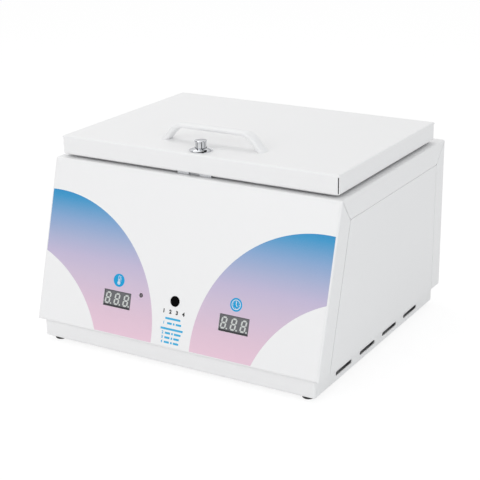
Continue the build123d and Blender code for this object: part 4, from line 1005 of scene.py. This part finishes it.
# The bow: half spans of its foot and shoulder outside and inside, and the radii of its bends
handle_foot, handle_shoulder = 70.0, 51.0
handle_foot_inner, handle_shoulder_inner = 59.2, 45.4
handle_height, handle_bar, handle_depth = 21.5, 5.6, 14.0
handle_bend, handle_bend_inner = 23.0, 17.0
bend_steps = 12

# Its section: steps round it, and a power under 1 that fills an oval out towards its corners
bow_steps, bow_fullness = 32, 2 / 3.0


def rounded_corner(before, corner, after, radius):
    """Points of the arc that rounds one corner of an outline."""
    corner = Vector(corner)
    back = (Vector(before) - corner).normalized()
    on = (Vector(after) - corner).normalized()
    half_angle = back.angle(on) / 2
    middle = corner + (back + on).normalized() * radius / sin(half_angle)
    start = corner + back * radius / tan(half_angle) - middle
    end = corner + on * radius / tan(half_angle) - middle
    sweep = atan2(start.x * end.y - start.y * end.x, start.dot(end))
    return circle_points(
        middle.x, middle.y, radius, bend_steps, atan2(start.y, start.x), sweep)


def bow_line(foot, shoulder, height, bend):
    """One side of the bow in X and Z, from the left foot over both shoulders to the right foot."""
    corners = [(-foot, 0), (-shoulder, height), (shoulder, height), (foot, 0)]
    left = rounded_corner(*corners[0:3], bend)
    right = rounded_corner(*corners[1:4], bend)
    return [corners[0]] + left + right + [corners[3]]


def full(share):
    """A sine or cosine pushed outwards, which makes an oval fuller."""
    return copysign(abs(share) ** bow_fullness, share)


def lid_bow():
    """The moulded handle: an oval section lofted along the bow, its feet flat on the lid."""
    outside = bow_line(handle_foot, handle_shoulder, handle_height, handle_bend)
    inside = bow_line(
        handle_foot_inner, handle_shoulder_inner, handle_height - handle_bar, handle_bend_inner)
    bm = bmesh.new()
    rings = []
    for (x_out, z_out), (x_in, z_in) in zip(outside, inside):
        ring = []
        for step in range(bow_steps):
            angle = 2 * pi * step / bow_steps
            deep = full(cos(angle)) * handle_depth / 2
            thick = (1 + full(sin(angle))) / 2
            ring.append(bm.verts.new((
                (x_in + (x_out - x_in) * thick) * MM, deep * MM,
                (z_in + (z_out - z_in) * thick) * MM,
            )))
        rings.append(ring)
    skin(bm, rings)
    bm.faces.new(rings[0])
    bm.faces.new(rings[-1])
    bow = from_bmesh(bm, "lid_bow", finishes["handle_plastic"], smooth=True)
    bow.data.transform(over("lid_handle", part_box("lid_handle")[0].z))
    finish_piece(bow, "lid", "handle_plastic", "lid_handle")


# The lock's turned outlines, as pairs of radius and height over the lid
knob_reach = 6.8
rose_outline = [
    (knob_reach, -1.2), (9.5, -1.2), (9.5, 0.0), (13.3, 0.0), (13.5, 0.3), (13.45, 0.8),
    (13.1, 1.15), (12.4, 1.6), (11.4, 2.15), (10.2, 2.7), (9.0, 3.1), (8.3, 3.3), (7.7, 3.45),
    (7.2, 3.45), (knob_reach + 0.1, 3.25), (knob_reach, 2.9),
]
knob_outline = [
    (0, -11.85), (4.0, -11.85), (4.0, -0.4), (6.2, -0.4), (6.3, 0.2), (6.3, 3.4), (6.3, 6.0),
    (6.36, 7.6), (6.5, 9.0), (6.75, 10.0), (7.05, 10.7), (7.2, 11.15), (7.2, 11.5),
    (7.05, 11.8), (6.7, 11.95), (6.2, 12.0), (3.5, 12.0), (0, 12.0),
]
turned_steps = 72

# The stem's foot is cut at 45 degrees, through this level on the axis
wedge_line = -9.81


def chrome_lock():
    """The turned rose and the push knob, whose stem is cut to the slope of the tongue's wedge."""
    chrome = finishes["chrome_plate"]
    seat = over("lock_rosette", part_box("lid_shell")[1].z)
    rose = from_bmesh(
        lathe(rose_outline, turned_steps, closed=True), "turned_rose", chrome, smooth=True)
    rose.data.transform(seat)
    finish_piece(rose, "lid", "chrome_plate", "lock_rosette")
    bm = lathe(knob_outline, turned_steps)
    cut = bmesh.ops.bisect_plane(
        bm, geom=bm.verts[:] + bm.edges[:] + bm.faces[:], plane_co=(0, 0, wedge_line * MM),
        plane_no=(0, -1, -1), clear_outer=True)
    rim = [item for item in cut["geom_cut"] if isinstance(item, bmesh.types.BMEdge)]
    bmesh.ops.holes_fill(bm, edges=rim, sides=0)
    knob = from_bmesh(bm, "push_knob", chrome, smooth=True)
    knob.data.transform(seat)
    finish_piece(knob, "lock_button", "chrome_plate", "lock_button")


# Mains inlet blades

blade_near, blade_far = 273.45, 286.7
blade_width, blade_height, blade_edge = 2.24, 4.24, 0.45
blade_offsets = ((-7, 2), (0, -2), (7, 2))


def inlet_blades():
    """Nickel blades that sleeve the three moulded cores in the inlet."""
    bm = bmesh.new()
    blade = Vector((blade_width, blade_far - blade_near, blade_height)) * MM
    for offset, rise in blade_offsets:
        middle = at(inlet_x + offset, (blade_near + blade_far) / 2, inlet_z + rise)
        shape = bmesh.ops.create_cube(bm, size=1.0)["verts"]
        for vert in shape:
            vert.co = middle + vert.co * blade
        edges = list({edge for vert in shape for edge in vert.link_edges})
        bmesh.ops.bevel(
            bm, geom=edges, offset=blade_edge * MM, segments=3, profile=0.6, affect="EDGES")
    blades = from_bmesh(bm, "inlet_blades", blade_metal, smooth=True)
    finish_piece(blades, "cabinet", "zinc_steel")


icon_pictures()
programme_numbers()
programme_bars()
set_screws()
lid_seal()
lid_bow()
chrome_lock()
inlet_blades()


# Floor, light and camera

floor_half = 9.0
floor_grey, floor_white = (0.84, 0.84, 0.84, 1.0), (0.95, 0.95, 0.95, 1.0)
floor_glow, glow_share = 1.08, 0.78
world_fill = 0.68
pure_white = (1.0, 1.0, 1.0, 1.0)
card_black = surface("card_black", (0.01, 0.01, 0.01, 1.0), 0.9, relief=0.01, Grain=50.0)

# Square lamps: direction from the object, distance, size, share of full white, and tint
lamp_aim = Vector((0, 0, 0.13))
lamps = {
    "top_softbox": ((-0.35, 0.2, 0.92), 1.8, 1.1, 0.175, (1.0, 1.0, 1.0)),
    "front_softbox": ((-0.25, -0.85, 0.46), 2.4, 1.3, 0.205, (1.0, 1.0, 1.0)),
    "right_softbox": ((0.85, -0.35, 0.28), 2.4, 1.3, 0.125, (0.9, 0.96, 1.0)),
}

# Black cards: middle, width and height, and the direction they face
cards = {
    "left_card": ((-1.3, -0.7, 0.8), 0.9, 1.8, (1.3, 0.7, -0.45)),
    "right_card": ((1.5, -0.35, 0.9), 0.9, 1.8, (-1.5, 0.35, -0.5)),
    "over_card": ((-0.1, 0.1, 1.95), 1.7, 1.9, (0.05, -0.05, -1.0)),
}

# Small cards round the lock: turn from the front in degrees, and distance and width
lock_place = at(0.0, 23.5, 249.2)
flag_height = 12.0
flags = ((42.5, 14.0, 3.2), (-31.5, 15.0, 2.6), (105.5, 15.0, 2.4))

# The photograph's camera: its place, its turns in degrees, and its lens and sensor
camera_place = (0.739, -1.26757, 0.6168)
camera_yaw, camera_pitch, camera_roll = 30.49, 19.21, 0.70
camera_lens, camera_sensor = 94.6, 36.0


def rays_seen(tree):
    """1 for what the camera sees, by itself, in a mirror or through glass, and else 0."""
    rays = tree.nodes.new("ShaderNodeLightPath").outputs
    return largest(tree, *(rays[kind] for kind in (
        "Is Camera Ray", "Is Glossy Ray", "Is Transmission Ray")))


def stage_floor():
    """A pale floor that reads as white to the camera and keeps a soft shadow."""
    bm = bmesh.new()
    bmesh.ops.create_grid(bm, x_segments=1, y_segments=1, size=floor_half)
    material, tree, shader = new_material("pale_floor")
    tree.nodes.remove(shader)
    grey, white = (
        add_node(tree, "ShaderNodeBsdfDiffuse", {"Color": colour}).outputs[0]
        for colour in (floor_grey, floor_white))
    glow = add_node(tree, "ShaderNodeEmission", {"Color": pure_white, "Strength": floor_glow})
    bright = add_node(tree, "ShaderNodeMixShader", {0: glow_share, 1: white, 2: glow.outputs[0]})
    whole = add_node(tree, "ShaderNodeMixShader", {
        0: rays_seen(tree), 1: grey, 2: bright.outputs[0],
    })
    tree.links.new(whole.outputs[0], tree.nodes["Material Output"].inputs["Surface"])
    from_bmesh(bm, "floor", material)


def stage_world():
    """An even white surround, at full strength where it is seen or mirrored."""
    world = bpy.data.worlds.new("studio")
    scene.world = world
    world.use_nodes = True
    tree = world.node_tree
    background = tree.nodes["Background"].inputs
    background["Color"].default_value = pure_white
    strength = map_range(tree, rays_seen(tree), 0.0, 1.0, world_fill, 1.0)
    tree.links.new(strength, background["Strength"])


def softbox(name, direction, distance, size, share, tint):
    """A square lamp that adds a share of full white to a surface that faces it."""
    lamp = bpy.data.lights.new(name, "AREA")
    lamp.shape = "SQUARE"
    lamp.size = size
    lamp.energy = share * (pi * distance) ** 2
    lamp.color = tint
    holder = placed(name, lamp)
    away = Vector(direction).normalized()
    holder.location = lamp_aim + away * distance
    holder.rotation_euler = away.to_track_quat("Z", "Y").to_euler()


def dark_card(name, middle, width, height, facing):
    """A black card that only mirrors show, to give bright metal its dark streaks."""
    bm = bmesh.new()
    bmesh.ops.create_grid(bm, x_segments=1, y_segments=1, size=0.5)
    spread = Matrix.Diagonal((width, height, 1, 1))
    turn = Vector(facing).to_track_quat("Z", "Y").to_matrix().to_4x4()
    bmesh.ops.transform(bm, matrix=Matrix.Translation(middle) @ turn @ spread, verts=bm.verts)
    card = from_bmesh(bm, name, card_black)
    for ray in ("camera", "diffuse", "transmission", "volume_scatter", "shadow"):
        setattr(card, "visible_" + ray, False)


def stage_camera():
    """The photograph's view: long lens, from the right front and above."""
    yaw, pitch, roll = radians(camera_yaw), radians(camera_pitch), radians(camera_roll)
    forward = Vector((-sin(yaw) * cos(pitch), cos(yaw) * cos(pitch), -sin(pitch)))
    level = Vector((cos(yaw), sin(yaw), 0))
    down = forward.cross(level)
    right = level * cos(roll) + down * sin(roll)
    lower = down * cos(roll) - level * sin(roll)
    camera = bpy.data.cameras.new("photograph_view")
    camera.lens = camera_lens
    camera.sensor_width = camera_sensor
    holder = placed("photograph_view", camera)
    place = Matrix.Translation(camera_place)
    holder.matrix_world = place @ Matrix((right, -lower, -forward)).transposed().to_4x4()
    scene.camera = holder


stage_floor()
stage_world()
stage_camera()
for name, values in lamps.items():
    softbox(name, *values)
for name, values in cards.items():
    dark_card(name, *values)
for turn, reach, width in flags:
    away = Vector((sin(radians(turn)), -cos(radians(turn)), 0.0))
    dark_card("lock_flag", lock_place + away * reach * MM, width * MM, flag_height * MM, -away)

scene.view_settings.view_transform = "Standard"
